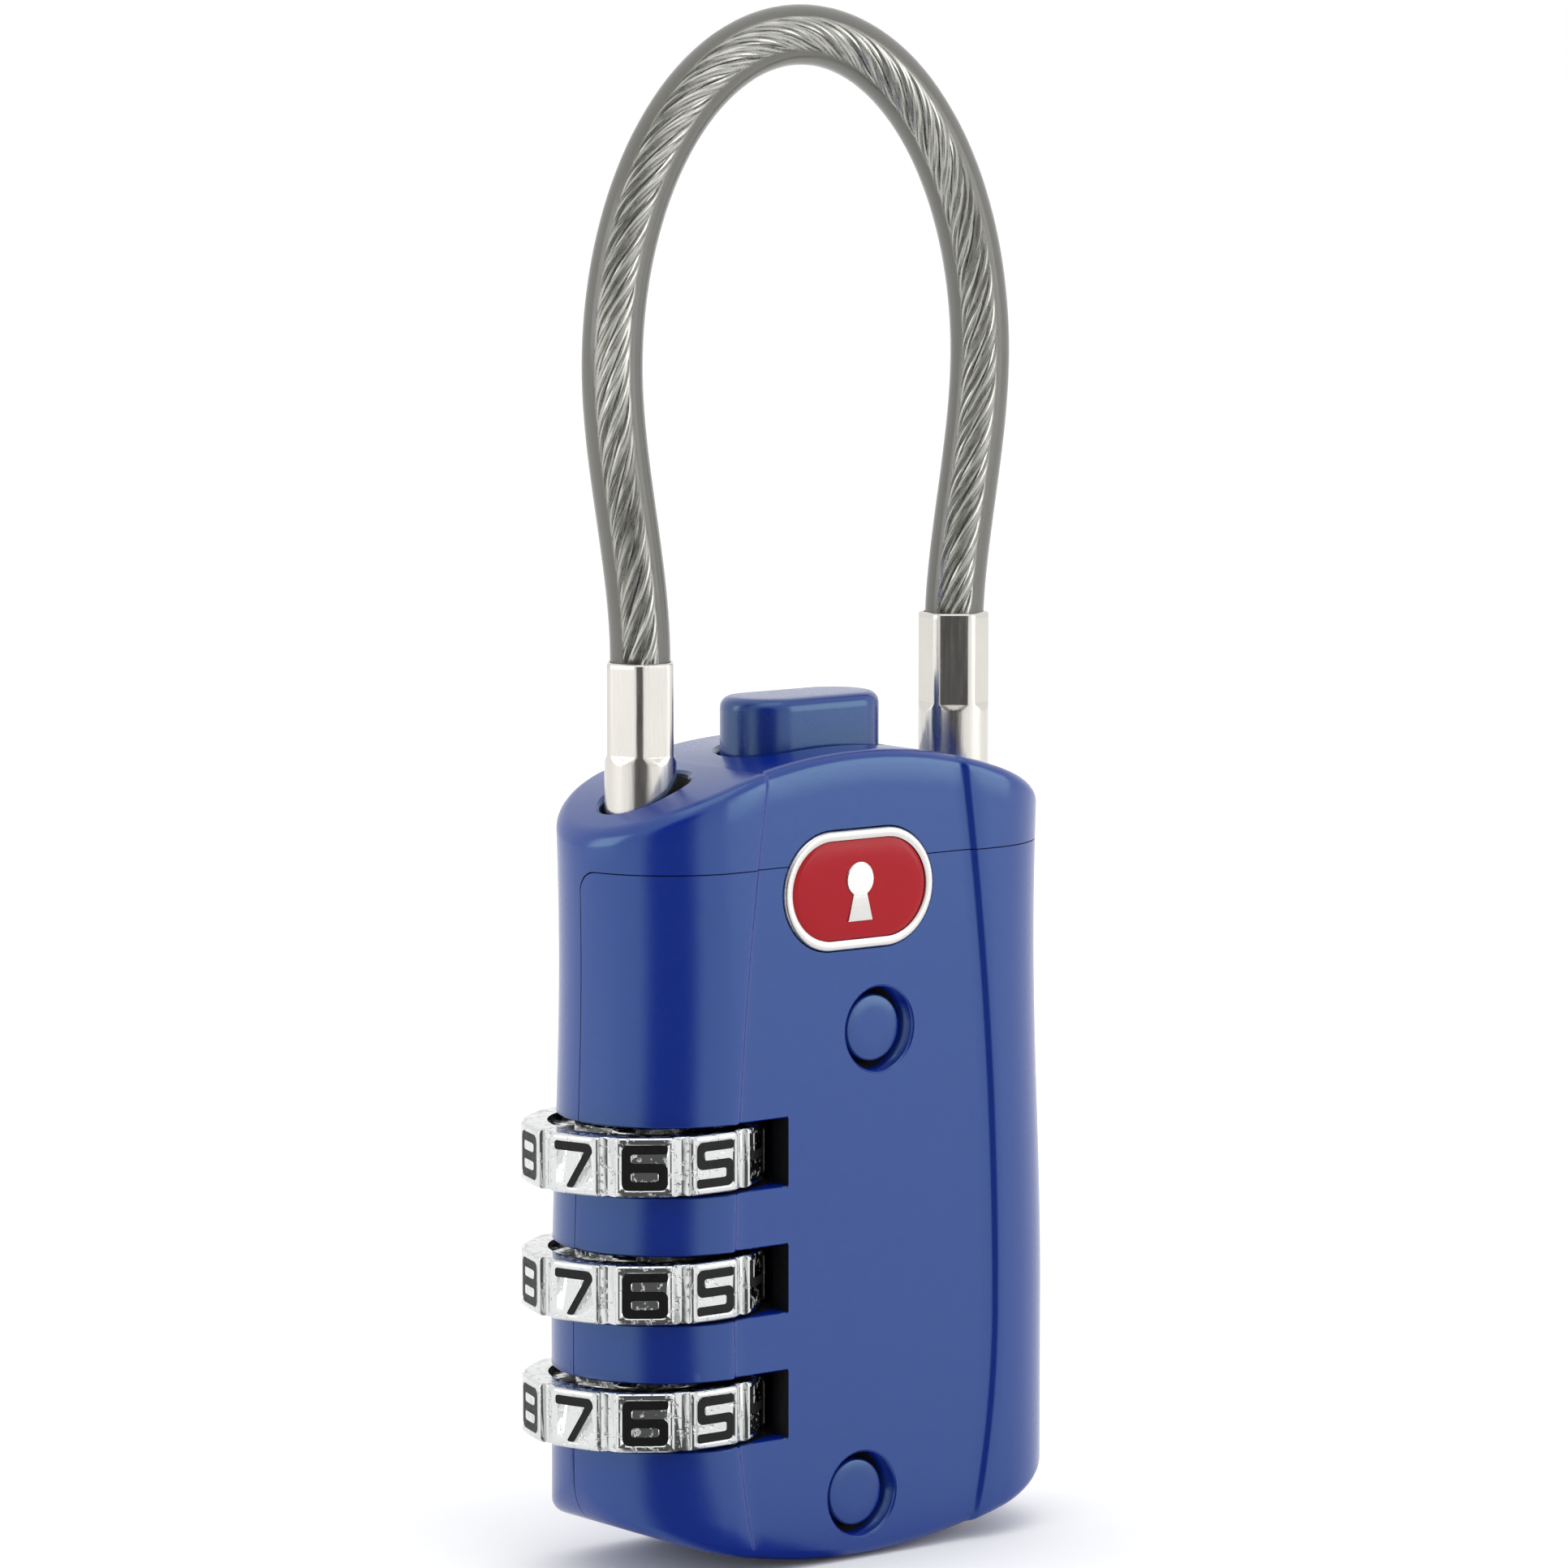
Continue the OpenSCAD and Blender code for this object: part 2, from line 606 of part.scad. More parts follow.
module spindle() color(steel) hang() {
    post(dial_x, 0, spindle_low, spindle_top, spindle_r);
    post(dial_x, 0, collar_z, collar_z + collar_h, collar_r);
}

module spindle_spring() color(steel) hang() translate([dial_x, 0, well_floor + run_gap])
    coil_spring(spindle_r + run_gap + wire_d + thread,
        lowest_dial_z + lowest_end - well_floor - 2 * run_gap, 3);

module detent_spring() color(steel) hang() {
    low = gallery_z0 + gap;
    high = well_top;
    block([leaf_x, -leaf_w / 2, low], [leaf_x + leaf_t, leaf_w / 2, high]);
    for (z = [low, high - leaf_t])
        block([leaf_x, -leaf_w / 2, z], [gallery_x1, leaf_w / 2, z + leaf_t]);
    at_dials() {
        translate([nose_centre, -nose_w / 2, 0]) rotate([-90, 0, 0])
            cylinder(r = nose_r, h = nose_w);
        block([nose_centre, -nose_w / 2, -nose_r / 2],
              [leaf_x + eps - dial_x, nose_w / 2, nose_r / 2]);
    }
}

module fence_bar() color(steel) hang() {
    x0 = gallery_x1 - gap - fence_t;
    y0 = fence_y - tooth_w / 2;
    y1 = fence_y + tooth_w / 2;
    block([x0, y0, gallery_z0 + gap], [x0 + fence_t, y1, gallery_z1 - gap]);
    at_dials() block([tooth_reach, y0, flange_low + 0.15],
                     [x0 + eps - dial_x, y1, flange_top - 0.15]);
}

module push_button() color(paint) hang() difference() {
    union() {
        stadium(button_w, button_d, button_foot, button_top);
        block([-button_w / 2 - flange_side, -button_d / 2 - flange_front, button_foot],
              [button_w / 2 + flange_side, button_d / 2 + flange_front, button_foot + flange_t]);
        front_solid(-stem_w / 2, stem_w / 2) polygon([
            [stem_x0, button_foot + eps], [stem_x0, wedge_low],
            [stem_x0 + stem_tip, wedge_low],
            [wedge_x, wedge_low + button_travel + latch_t],
            [wedge_x, button_foot + eps]]);
    }
    post(spring_x, 0, button_foot - past, button_top - button_skin, spring_bore_r);
}

module button_spring() color(steel) hang() translate([spring_x, 0, ledge_z + run_gap])
    coil_spring(spring_r, button_top - button_skin - ledge_z - 2 * run_gap, 8);

module latch_bolt() color(steel) hang() difference() {
    union() {
        block([nose_root, -latch_w / 2, latch_z], [latch_end, latch_w / 2, latch_z + latch_t]);
        block([nose_x, -nose_half, latch_z], [nose_root + eps, nose_half, latch_z + latch_t]);
    }
    face = stem_x0 + stem_tip + (latch_z - wedge_low) * wedge_ratio + 0.1;
    front_solid(-stem_w / 2 - thread, stem_w / 2 + thread) polygon([
        [stem_x0 - latch_travel - 0.3, latch_z - eps],
        [face - eps * wedge_ratio, latch_z - eps],
        [face + (latch_t + eps) * wedge_ratio, latch_z + latch_t + eps],
        [stem_x0 - latch_travel - 0.3, latch_z + latch_t + eps]]);
}

module latch_spring() color(steel) hang()
    translate([latch_end + run_gap, 0, latch_z + latch_t / 2]) rotate([0, 90, 0])
        coil_spring(spring_r, spring_end - latch_end - 2 * run_gap, 8);

// the crimped socket of a ferrule: a round sleeve pressed to six flats
module crimp(z0, z1, turn) {
    intersection() {
        post(0, 0, z0, z1, ferrule_d / 2);
        rotate(turn + 30) translate([0, 0, z0])
            cylinder(r = crimp_d / 2 / cos(30), h = z1 - z0, $fn = 6);
    }
}

module free_ferrule() color(nickel) hang() translate([-ferrule_x, 0, 0]) {
    mouth = body_h + free_mouth;
    bead_top = ferrule_low + bead_h;
    difference() {
        union() {
            crimp(free_crimp_low - eps, mouth, free_crimp_turn);
            post(0, 0, neck_top, free_crimp_low, ferrule_d / 2);
        }
        post(0, 0, mouth - socket_l, mouth + past, socket_r);
    }
    post(0, 0, bead_top - eps, neck_top + eps, neck_r);
    rotate_extrude() polygon([[0, ferrule_low], [bead_r - bead_lead, ferrule_low],
        [bead_r, ferrule_low + bead_lead], [bead_r, bead_top], [0, bead_top]]);
}

module fixed_ferrule() color(nickel) hang() translate([ferrule_x, 0, 0]) difference() {
    mouth = body_h + fixed_mouth;
    union() {
        crimp(fixed_crimp_low - eps, mouth, fixed_crimp_turn);
        post(0, 0, ferrule_low, fixed_crimp_low, ferrule_d / 2);
    }
    post(0, 0, mouth - socket_l, mouth + past, socket_r);
    difference() {
        post(0, 0, clip_z - run_gap, clip_z + clip_t + run_gap, ferrule_d);
        post(0, 0, 0, body_h, neck_r);
    }
}

module retaining_clip() color(steel) hang() translate([ferrule_x, 0, clip_z]) difference() {
    cylinder(r = clip_r, h = clip_t);
    translate([0, 0, -eps]) cylinder(r = neck_r + run_gap, h = clip_t + 2 * eps);
    block([-neck_r, 0, -eps], [neck_r, clip_r + past, clip_t + eps]);
}

module cable(r, r_in = 0) {
    path = cable_path();
    sides = [for (i = [0:len(path) - 1]) cross([0, 1, 0], tangent(path, i))];
    swept(path, sides, r, r_in);
}

module cable_core() color(steel) hang() cable(core_d / 2);
module cable_sheath() color("#6d706b") hang() cable(cable_r, core_d / 2 + 0.02);

module at_wafers() for (i = [0:wafer_count - 1])
    translate([plug_x, 0, plug_z + 1.6 + i * (plug_l - 3.2) / wafer_count]) children();

module key_plug() color(brass) hang() difference() {
    union() {
        post(plug_x, 0, plug_z, plug_top, plug_d / 2);
        post(plug_x, 0, plug_top - plug_flange_t, plug_top, plug_d / 2 + plug_rim);
    }
    block([plug_x - keyway_w / 2, -plug_d / 2 + keyway_wall, plug_z - past],
          [plug_x + keyway_w / 2, plug_d / 2 - keyway_wall, plug_top - plug_flange_t - 0.4]);
    at_wafers() block([-wafer_half, -plug_d, 0], [wafer_half, plug_d, wafer_t]);
}

module wafers() color(steel) hang() at_wafers() difference() {
    intersection() {
        post(0, 0, wafer_gap, wafer_t - wafer_gap, plug_d / 2 - wafer_gap);
        block([-wafer_half + wafer_gap, -plug_d, 0], [wafer_half - wafer_gap, plug_d, wafer_t]);
    }
    block([-keyway_w / 2, -1.2, -eps], [keyway_w / 2, 1.2, wafer_t]);
}

module plug_cam() color(steel) hang() translate([plug_x, 0, plug_top]) {
    cylinder(r = plug_d / 2 - 0.3, h = cam_t);
    rotate(135) post(cam_throw, 0, cam_t - eps, cam_t + cam_pin_l, cam_pin_d / 2);
}

module override_slide() color(steel) hang() {
    slot_x = plug_x - cam_throw * sin(45);
    slot_half = cam_pin_d / 2 + thread;
    difference() {
        block([upright_x, -slide_half, slide_z], [slide_x1, slide_half + thread, slide_z + slide_t]);
        block([slot_x - slot_half, cam_throw * cos(45) - slot_half - thread, slide_z - eps],
              [slot_x + slot_half, cam_throw + slot_half + thread, slide_z + slide_t + eps]);
    }
    block([upright_x, -upright_half, slide_z + slide_t - eps],
          [upright_x + upright_t, upright_half, upright_top]);
}

rear_housing();
front_cover();
rivets();
badge_plate();
badge_enamel();
upper_dial();
middle_dial();
lower_dial();
upper_sleeve();
middle_sleeve();
lower_sleeve();
spindle();
spindle_spring();
detent_spring();
fence_bar();
push_button();
button_spring();
latch_bolt();
latch_spring();
free_ferrule();
fixed_ferrule();
retaining_clip();
cable_core();
cable_sheath();
key_plug();
wafers();
plug_cam();
override_slide();
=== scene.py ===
"""Looks of a small three-dial luggage padlock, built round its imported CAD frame.

Meshes are made in millimetres on a bench that stands on the lock's lowest point, and are
then set into the frame in metres. The castings, dials and button are the CAD solids dressed
down to a filleted outside form; the ferrules, badge, rivets and cable are made afresh.
"""

import logging
import math
from collections.abc import Callable
from dataclasses import dataclass, field
from enum import Enum

import bmesh
import bpy
from mathutils import Matrix, Vector
from mathutils.bvhtree import BVHTree
from mathutils.interpolate import poly_3d_calc


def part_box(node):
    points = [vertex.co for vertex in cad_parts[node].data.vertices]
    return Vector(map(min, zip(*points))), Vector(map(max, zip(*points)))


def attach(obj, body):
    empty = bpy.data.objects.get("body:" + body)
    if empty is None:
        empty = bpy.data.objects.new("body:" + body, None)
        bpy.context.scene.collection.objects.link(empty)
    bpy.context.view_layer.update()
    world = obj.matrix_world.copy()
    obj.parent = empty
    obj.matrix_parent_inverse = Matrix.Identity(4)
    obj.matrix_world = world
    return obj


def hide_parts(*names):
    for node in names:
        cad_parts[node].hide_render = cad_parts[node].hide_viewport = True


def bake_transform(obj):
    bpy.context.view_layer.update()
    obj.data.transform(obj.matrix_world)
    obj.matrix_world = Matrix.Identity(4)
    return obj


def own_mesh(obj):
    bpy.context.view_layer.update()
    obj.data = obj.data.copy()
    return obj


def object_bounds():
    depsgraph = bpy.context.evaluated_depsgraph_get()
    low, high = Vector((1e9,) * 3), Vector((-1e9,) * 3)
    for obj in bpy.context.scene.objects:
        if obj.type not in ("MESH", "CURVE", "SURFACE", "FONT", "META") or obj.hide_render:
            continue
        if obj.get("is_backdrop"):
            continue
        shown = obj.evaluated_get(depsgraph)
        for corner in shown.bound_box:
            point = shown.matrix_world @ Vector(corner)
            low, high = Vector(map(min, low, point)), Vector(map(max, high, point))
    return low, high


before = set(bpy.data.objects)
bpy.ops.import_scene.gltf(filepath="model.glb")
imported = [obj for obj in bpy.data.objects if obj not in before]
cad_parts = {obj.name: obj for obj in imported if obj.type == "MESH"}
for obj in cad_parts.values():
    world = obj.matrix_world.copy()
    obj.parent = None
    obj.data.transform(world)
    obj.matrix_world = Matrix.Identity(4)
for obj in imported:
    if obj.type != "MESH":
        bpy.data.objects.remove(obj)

MM = 0.001
MERGE = 0.0008  # corners of a CAD solid closer than this, in millimetres, are one
SHARP = math.radians(32)
ALONG = 0.9  # two directions whose product is above this count as one
BENCH_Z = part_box("rear_housing")[0].z  # where the bench's top lies in the frame
log = logging.getLogger("padlock")

Point = tuple[float, float, float]
Ring = list[Point]
Socket = bpy.types.NodeSocket
Tree = bpy.types.NodeTree


class Carving(Enum):
    """What a boolean tool does to the piece on the bench."""

    KEEP_INSIDE = "INTERSECT"
    REMOVE = "DIFFERENCE"


class Slot(Enum):
    """Material slots of the record."""

    PAINT = "painted_zinc"
    BUTTON = "button_paint"
    CHROME = "dial_chrome"
    NICKEL = "ferrule_nickel"
    BADGE = "badge_metal"
    ENAMEL = "badge_enamel"
    BRASS = "sleeve_brass"
    SPRING = "spring_steel"
    BOLT = "bolt_steel"
    ROPE = "rope_steel"
    SHEATH = "clear_sheath"
    PLUG = "plug_brass"


def linear(code: str) -> tuple[float, float, float, float]:
    """Turns an sRGB hex colour into linear RGBA.

    Args:
        code: The colour, such as "#1f3f96".

    Returns:
        Linear red, green and blue, with alpha 1.
    """
    parts = [int(code[i : i + 2], 16) / 255 for i in (1, 3, 5)]
    red, green, blue = (c / 12.92 if c <= 0.04045 else ((c + 0.055) / 1.055) ** 2.4 for c in parts)
    return (red, green, blue, 1.0)


def smooth(t: float) -> float:
    """A soft step from 0 to 1."""
    t = min(1.0, max(0.0, t))
    return t * t * (3 - 2 * t)


def turns(count: int, shift: float = 0.0) -> list[float]:
    """Evenly spaced angles of a full turn, shifted by a share of one step."""
    return [2 * math.pi * (k + shift) / count for k in range(count)]


def rounding(r: float, *degrees: float) -> list[tuple[float, float]]:
    """Steps of a rounded edge: how far each lies in from the one face and from the other."""
    steps = [math.radians(a) for a in degrees]
    return [(r * (1 - math.cos(a)), r * (1 - math.sin(a))) for a in steps]


def slotted(x: float, half_run: float, r: float, count: int) -> list[tuple[float, float]]:
    """Points of a slot with round ends.

    Args:
        x: Middle of the slot, sideways.
        half_run: Half the straight run, 0 for a round hole.
        r: Radius of the ends.
        count: How many points.

    Returns:
        The points, sideways and across.
    """
    return [(x + math.copysign(half_run, math.cos(a)) + r * math.cos(a), r * math.sin(a)) for a in turns(count, 0.5)]


@dataclass(frozen=True)
class Spot:
    """Where a CAD node lies, in millimetres above the lock's lowest point."""

    low: Vector
    high: Vector

    @staticmethod
    def of(node: str) -> "Spot":
        """The box of a CAD node on the bench.

        Args:
            node: The node's name.

        Returns:
            Its box in millimetres.
        """
        low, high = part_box(node)
        base = Vector((0, 0, BENCH_Z))
        return Spot((low - base) / MM, (high - base) / MM)

    @property
    def middle(self) -> Vector:
        """Centre of the box."""
        return (self.low + self.high) / 2

    @property
    def size(self) -> Vector:
        """Lengths of the box's sides."""
        return self.high - self.low


class Skin:
    """The smooth shading of an outside form, lent to what is carved from it."""

    def __init__(
        self, form: bpy.types.Object, deep: float, windows_x: float = -math.inf, window_deep: float = 0.0
    ) -> None:
        """Keeps what is needed of the form before it is used up.

        Args:
            form: The outside form, on the bench.
            deep: Faces further in than this get the second material, the near-black painted shade.
            windows_x: The windows lie from here towards -X.
            window_deep: What counts as deep in the windows.
        """
        mesh = form.data
        self.places = [vert.co.copy() for vert in mesh.vertices]
        self.normals = [vert.normal.copy() for vert in mesh.vertices]
        self.faces = [tuple(face.vertices) for face in mesh.polygons]
        self.tree = BVHTree.FromPolygons(self.places, self.faces)
        self.deep, self.windows_x, self.window_deep = deep, windows_x, window_deep

    def normal(self, point: Vector) -> Vector:
        """The form's smooth normal nearest to a point.

        Args:
            point: A place on the bench.

        Returns:
            The normal there.
        """
        spot, _, index, _ = self.tree.find_nearest(point)
        corners = self.faces[index]
        weights = poly_3d_calc([self.places[i] for i in corners], spot)
        return sum((self.normals[i] * w for i, w in zip(corners, weights)), Vector()).normalized()

    def takes_painted_shade(self, face: bpy.types.MeshPolygon, away: float) -> bool:
        """Whether a face, so far from the skin, takes the near-black painted shade."""
        in_window = face.center.x < self.windows_x
        return away > self.deep or in_window and (away > self.window_deep or face.normal.x < -ALONG)

    def lend(self, mesh: bpy.types.Mesh, touching: float = 0.01) -> None:
        """Shades the faces that lie in the skin like the form, and gives the deep ones the near-black painted shade.

        Args:
            mesh: The carved mesh, on the bench.
            touching: Faces closer than this to the skin belong to it.
        """
        normals = [corner.vector.copy() for corner in mesh.corner_normals]
        for face in mesh.polygons:
            _, flat, _, away = self.tree.find_nearest(face.center)
            if away < touching and flat.dot(face.normal) > ALONG:
                for corner in face.loop_indices:
                    normals[corner] = self.normal(mesh.vertices[mesh.loops[corner].vertex_index].co)
            elif self.takes_painted_shade(face, away):
                # painted shade: faces deep inside and the window walls take the near-black second material
                face.material_index = 1
        mesh.normals_split_custom_set(normals)


class Bench:
    """Mesh work in millimetres, and the way from the bench into the frame."""

    @staticmethod
    def extruded(bm: bmesh.types.BMesh, loop: list[bmesh.types.BMVert]) -> list[bmesh.types.BMVert]:
        """Extrudes a closed loop of vertices.

        Args:
            bm: The mesh.
            loop: The loop's vertices in order.

        Returns:
            The new loop, in the same order.
        """
        edges = [bm.edges.get((loop[i - 1], loop[i])) for i in range(len(loop))]
        made = bmesh.ops.extrude_edge_only(bm, edges=edges)["geom"]
        fresh = {g for g in made if isinstance(g, bmesh.types.BMVert)}
        return [next(e.other_vert(v) for e in v.link_edges if e.other_vert(v) in fresh) for v in loop]

    @staticmethod
    def loft(bm: bmesh.types.BMesh, rings: list[Ring]) -> list[list[bmesh.types.BMVert]]:
        """Draws a skin through rings that all have the same number of points.

        Args:
            bm: The mesh.
            rings: The rings, first to last.

        Returns:
            The loops of vertices, one for each ring.
        """
        loop = bmesh.ops.create_circle(bm, cap_ends=False, segments=len(rings[0]), radius=1.0)["verts"]
        loops = []
        for k, ring in enumerate(rings):
            if k:
                loop = Bench.extruded(bm, loop)
            for vert, point in zip(loop, ring):
                vert.co = point
            loops.append(loop)
        return loops

    @staticmethod
    def closed(bm: bmesh.types.BMesh, rings: list[Ring]) -> None:
        """Draws a skin through rings and closes both of its flat ends.

        Args:
            bm: The mesh.
            rings: The rings, first to last.
        """
        loops = Bench.loft(bm, rings)
        Bench.lid(bm, loops[0])
        Bench.lid(bm, loops[-1])

    @staticmethod
    def lid(bm: bmesh.types.BMesh, loop: list[bmesh.types.BMVert]) -> None:
        """Closes a flat loop with one face."""
        edges = [bm.edges.get((loop[i - 1], loop[i])) for i in range(len(loop))]
        bmesh.ops.contextual_create(bm, geom=edges)

    @staticmethod
    def ruled_lid(bm: bmesh.types.BMesh, loop: list[bmesh.types.BMVert]) -> None:
        """Closes an arched loop with strips from front to back.

        Args:
            bm: The mesh.
            loop: Vertices from the +X tip along the front to the -X tip and back.
        """
        count = len(loop)
        half = count // 2
        edges = [bm.edges.get((loop[i], loop[i + 1])) for i in range(1, half - 1)]
        edges += [bm.edges.get((loop[count - i], loop[count - i - 1])) for i in range(1, half - 1)]
        bmesh.ops.bridge_loops(bm, edges=edges)
        for tip, side in ((0, 1), (half, half - 1)):
            bmesh.ops.contextual_create(bm, geom=[loop[tip], loop[side], loop[(2 * tip - side) % count]])

    @staticmethod
    def piece(bm: bmesh.types.BMesh, name: str) -> bpy.types.Object:
        """Turns a finished bmesh into an object, with its faces outwards.

        Args:
            bm: The mesh, used up here.
            name: The object's name.

        Returns:
            The object, on the bench.
        """
        bmesh.ops.recalc_face_normals(bm, faces=bm.faces)
        mesh = bpy.data.meshes.new(name)
        bm.to_mesh(mesh)
        bm.free()
        obj = bpy.data.objects.new(name, mesh)
        bpy.context.scene.collection.objects.link(obj)
        return obj

    @staticmethod
    def braced(rings: list[Ring], reach: float = 0.08, long: float = 1.2) -> list[Ring]:
        """Puts a ring close to each end of every long stretch, to keep its shading flat.

        Args:
            rings: The rings, first to last.
            reach: How far from the end the ring is put.
            long: Stretches longer than this get their rings.

        Returns:
            The rings with the new ones between them.
        """
        made = [rings[0]]
        for low, high in zip(rings, rings[1:]):
            run = (Vector(high[0]) - Vector(low[0])).length
            for share in (reach / run, 1 - reach / run) if run > long else ():
                made.append([tuple(Vector(a).lerp(Vector(b), share)) for a, b in zip(low, high)])
            made.append(high)
        return made

    @staticmethod
    def lofted(name: str, rings: list[Ring]) -> bpy.types.Object:
        """A closed piece through rings, with a flat face at each end.

        Args:
            name: The piece's name.
            rings: The rings, first to last.

        Returns:
            The piece, on the bench.
        """
        bm = bmesh.new()
        Bench.closed(bm, Bench.braced(rings))
        return Bench.piece(bm, name)

    @staticmethod
    def node_copy(node: str) -> bpy.types.Object:
        """A merged copy of a CAD node on the bench.

        Args:
            node: The node's name.

        Returns:
            The copy.
        """
        bm = bmesh.new()
        bm.from_mesh(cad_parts[node].data)
        lift = Matrix.Scale(1 / MM, 4) @ Matrix.Translation((0, 0, -BENCH_Z))
        bmesh.ops.transform(bm, matrix=lift, verts=bm.verts)
        bmesh.ops.remove_doubles(bm, verts=bm.verts, dist=MERGE)
        bmesh.ops.dissolve_degenerate(bm, edges=bm.edges, dist=MERGE)
        return Bench.piece(bm, node + "_copy")

    @staticmethod
    def carve(obj: bpy.types.Object, tools: list[bpy.types.Object], how: Carving) -> None:
        """Applies boolean tools to a piece one after another and discards them.

        Args:
            obj: The piece on the bench.
            tools: Closed tools.
            how: What the tools do.
        """
        for tool in tools:
            modifier = obj.modifiers.new("carve", "BOOLEAN")
            modifier.operation = how.value
            modifier.solver = "EXACT"
            modifier.object = tool
            graph = bpy.context.evaluated_depsgraph_get()
            mesh = bpy.data.meshes.new_from_object(obj.evaluated_get(graph))
            obj.modifiers.clear()
            obj.data = mesh
            bpy.data.objects.remove(tool)

    @staticmethod
    def join(name: str, parts: list[bpy.types.Object]) -> bpy.types.Object:
        """Joins separate solids into one piece.

        Args:
            name: The piece's name.
            parts: Solids that don't touch.

        Returns:
            The new piece.
        """
        bm = bmesh.new()
        for part in parts:
            bm.from_mesh(part.data)
            bpy.data.objects.remove(part)
        return Bench.piece(bm, name)

    @staticmethod
    def settle(
        obj: bpy.types.Object, name: str, angle: float = SHARP, skin: Skin | None = None
    ) -> bpy.types.Object:
        """Sets a piece from the bench into the frame, shaded smooth up to an angle.

        Args:
            obj: The piece on the bench.
            name: Its name in the model.
            angle: Edges sharper than this stay crisp.
            skin: The form whose smooth shading its outside takes over.

        Returns:
            The same object.
        """
        obj.data.materials.clear()
        obj.data.shade_smooth()
        obj.data.set_sharp_from_angle(angle=angle)
        if skin is not None:
            skin.lend(obj.data)
        obj.data.transform(Matrix.Translation((0, 0, BENCH_Z)) @ Matrix.Scale(MM, 4))
        obj.name = name
        obj.data.name = name
        return obj

    @staticmethod
    def hand_over(obj: bpy.types.Object, finish: "Finish", slot: Slot, body: str, *nodes: str) -> None:
        """Dresses a settled piece and hooks it to the frame.

        Args:
            obj: The piece.
            finish: Its finish.
            slot: The record's slot that the finish stands for. Not used.
            body: The CAD body that it rides on.
            nodes: The CAD nodes that it replaces.
        """
        obj.data.materials.append(finish.material())
        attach(obj, body)
        if nodes:
            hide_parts(*nodes)
        log.info("%s: %d faces, rides on %s", obj.name, len(obj.data.polygons), body)


def add_node(
    tree: Tree, kind: str, inputs: dict[str | int, object] | None = None, **settings: object
) -> bpy.types.Node:
    """Adds one shader node.

    Args:
        tree: The node tree.
        kind: The node's type, such as "ShaderNodeTexNoise".
        inputs: Socket values, or output sockets to link, by socket name or number.
        settings: Properties of the node.

    Returns:
        The node.
    """
    node = tree.nodes.new(kind)
    for key, value in settings.items():
        setattr(node, key, value)
    for key, value in (inputs or {}).items():
        if isinstance(value, bpy.types.NodeSocket):
            tree.links.new(value, node.inputs[key])
        else:
            node.inputs[key].default_value = value
    return node


@dataclass(frozen=True)
class Finish:
    """A surface finish: what the thing is made of and how that was worked.

    Fields hold what differs from one finish to the next; a finish with a look of its own
    overrides dress.
    """

    name: str
    colour: str
    metallic: float = 0.0
    roughness: float = 0.4
    grain_mm: float = 0.3
    grain_depth: float = 0.02
    rough_spread: float = 0.08
    tint: float = 0.06
    gloss: float = 0.5

    def material(self) -> bpy.types.Material:
        """The material of this finish, made once.

        Returns:
            The material.
        """
        known = bpy.data.materials.get(self.name)
        if known is not None:
            return known
        made = bpy.data.materials.new(self.name)
        made.use_nodes = True
        tree = made.node_tree
        self.dress(tree, tree.nodes["Principled BSDF"], add_node(tree, "ShaderNodeTexCoord").outputs["Object"])
        return made

    def pattern(
        self, tree: Tree, where: Socket, size_mm: float, detail: float = 3.0, stretch: Point = (1, 1, 1)
    ) -> Socket:
        """An uneven pattern whose grains have a size in millimetres.

        Args:
            tree: The node tree.
            where: The coordinates.
            size_mm: The size of one grain.
            detail: Octaves.
            stretch: How much the coordinates are squeezed along each axis.

        Returns:
            The pattern's value from 0 to 1.
        """
        placed = add_node(tree, "ShaderNodeMapping", {"Vector": where, "Scale": stretch})
        scale = {"Vector": placed.outputs[0], "Scale": 1 / (size_mm * MM), "Detail": detail, "Roughness": 0.55}
        return add_node(tree, "ShaderNodeTexNoise", scale).outputs["Fac"]

    def work(self, tree: Tree, shader: bpy.types.Node, colour_by: Socket, gloss_by: Socket, relief: Socket) -> Socket:
        """Varies the colour and the gloss by patterns, and presses one into the surface.

        Args:
            tree: The node tree.
            shader: The Principled shader.
            colour_by: Pattern that darkens and lightens the colour by the tint.
            gloss_by: Pattern that moves the roughness by its spread.
            relief: Pattern that is pressed in by the grain's depth.

        Returns:
            The varied colour.
        """
        base = linear(self.colour)[:3]
        dark, light = (tuple(min(1.0, c * (1 + way * self.tint)) for c in base) + (1.0,) for way in (-1, 1))
        varied = add_node(tree, "ShaderNodeMix", {"Factor": colour_by, 6: dark, 7: light}, data_type="RGBA").outputs[2]
        low, high = self.roughness - self.rough_spread, self.roughness + self.rough_spread
        limits = {"Value": gloss_by, "From Min": 0.3, "From Max": 0.7, "To Min": low, "To Max": high}
        raised = {"Height": relief, "Distance": self.grain_depth * MM, "Strength": 1.0}
        for socket, made in (
            ("Base Color", varied),
            ("Roughness", add_node(tree, "ShaderNodeMapRange", limits).outputs[0]),
            ("Normal", add_node(tree, "ShaderNodeBump", raised).outputs[0]),
        ):
            tree.links.new(made, shader.inputs[socket])
        return varied

    def dress(self, tree: Tree, shader: bpy.types.Node, where: Socket) -> None:
        """Builds the nodes of a plain worked surface: grain in colour, gloss and relief.

        Args:
            tree: The node tree.
            shader: The Principled shader.
            where: Object coordinates.
        """
        shader.inputs["Metallic"].default_value = self.metallic
        shader.inputs["Specular IOR Level"].default_value = self.gloss
        grain = self.pattern(tree, where, self.grain_mm)
        self.work(tree, shader, self.pattern(tree, where, self.grain_mm * 12), grain, grain)


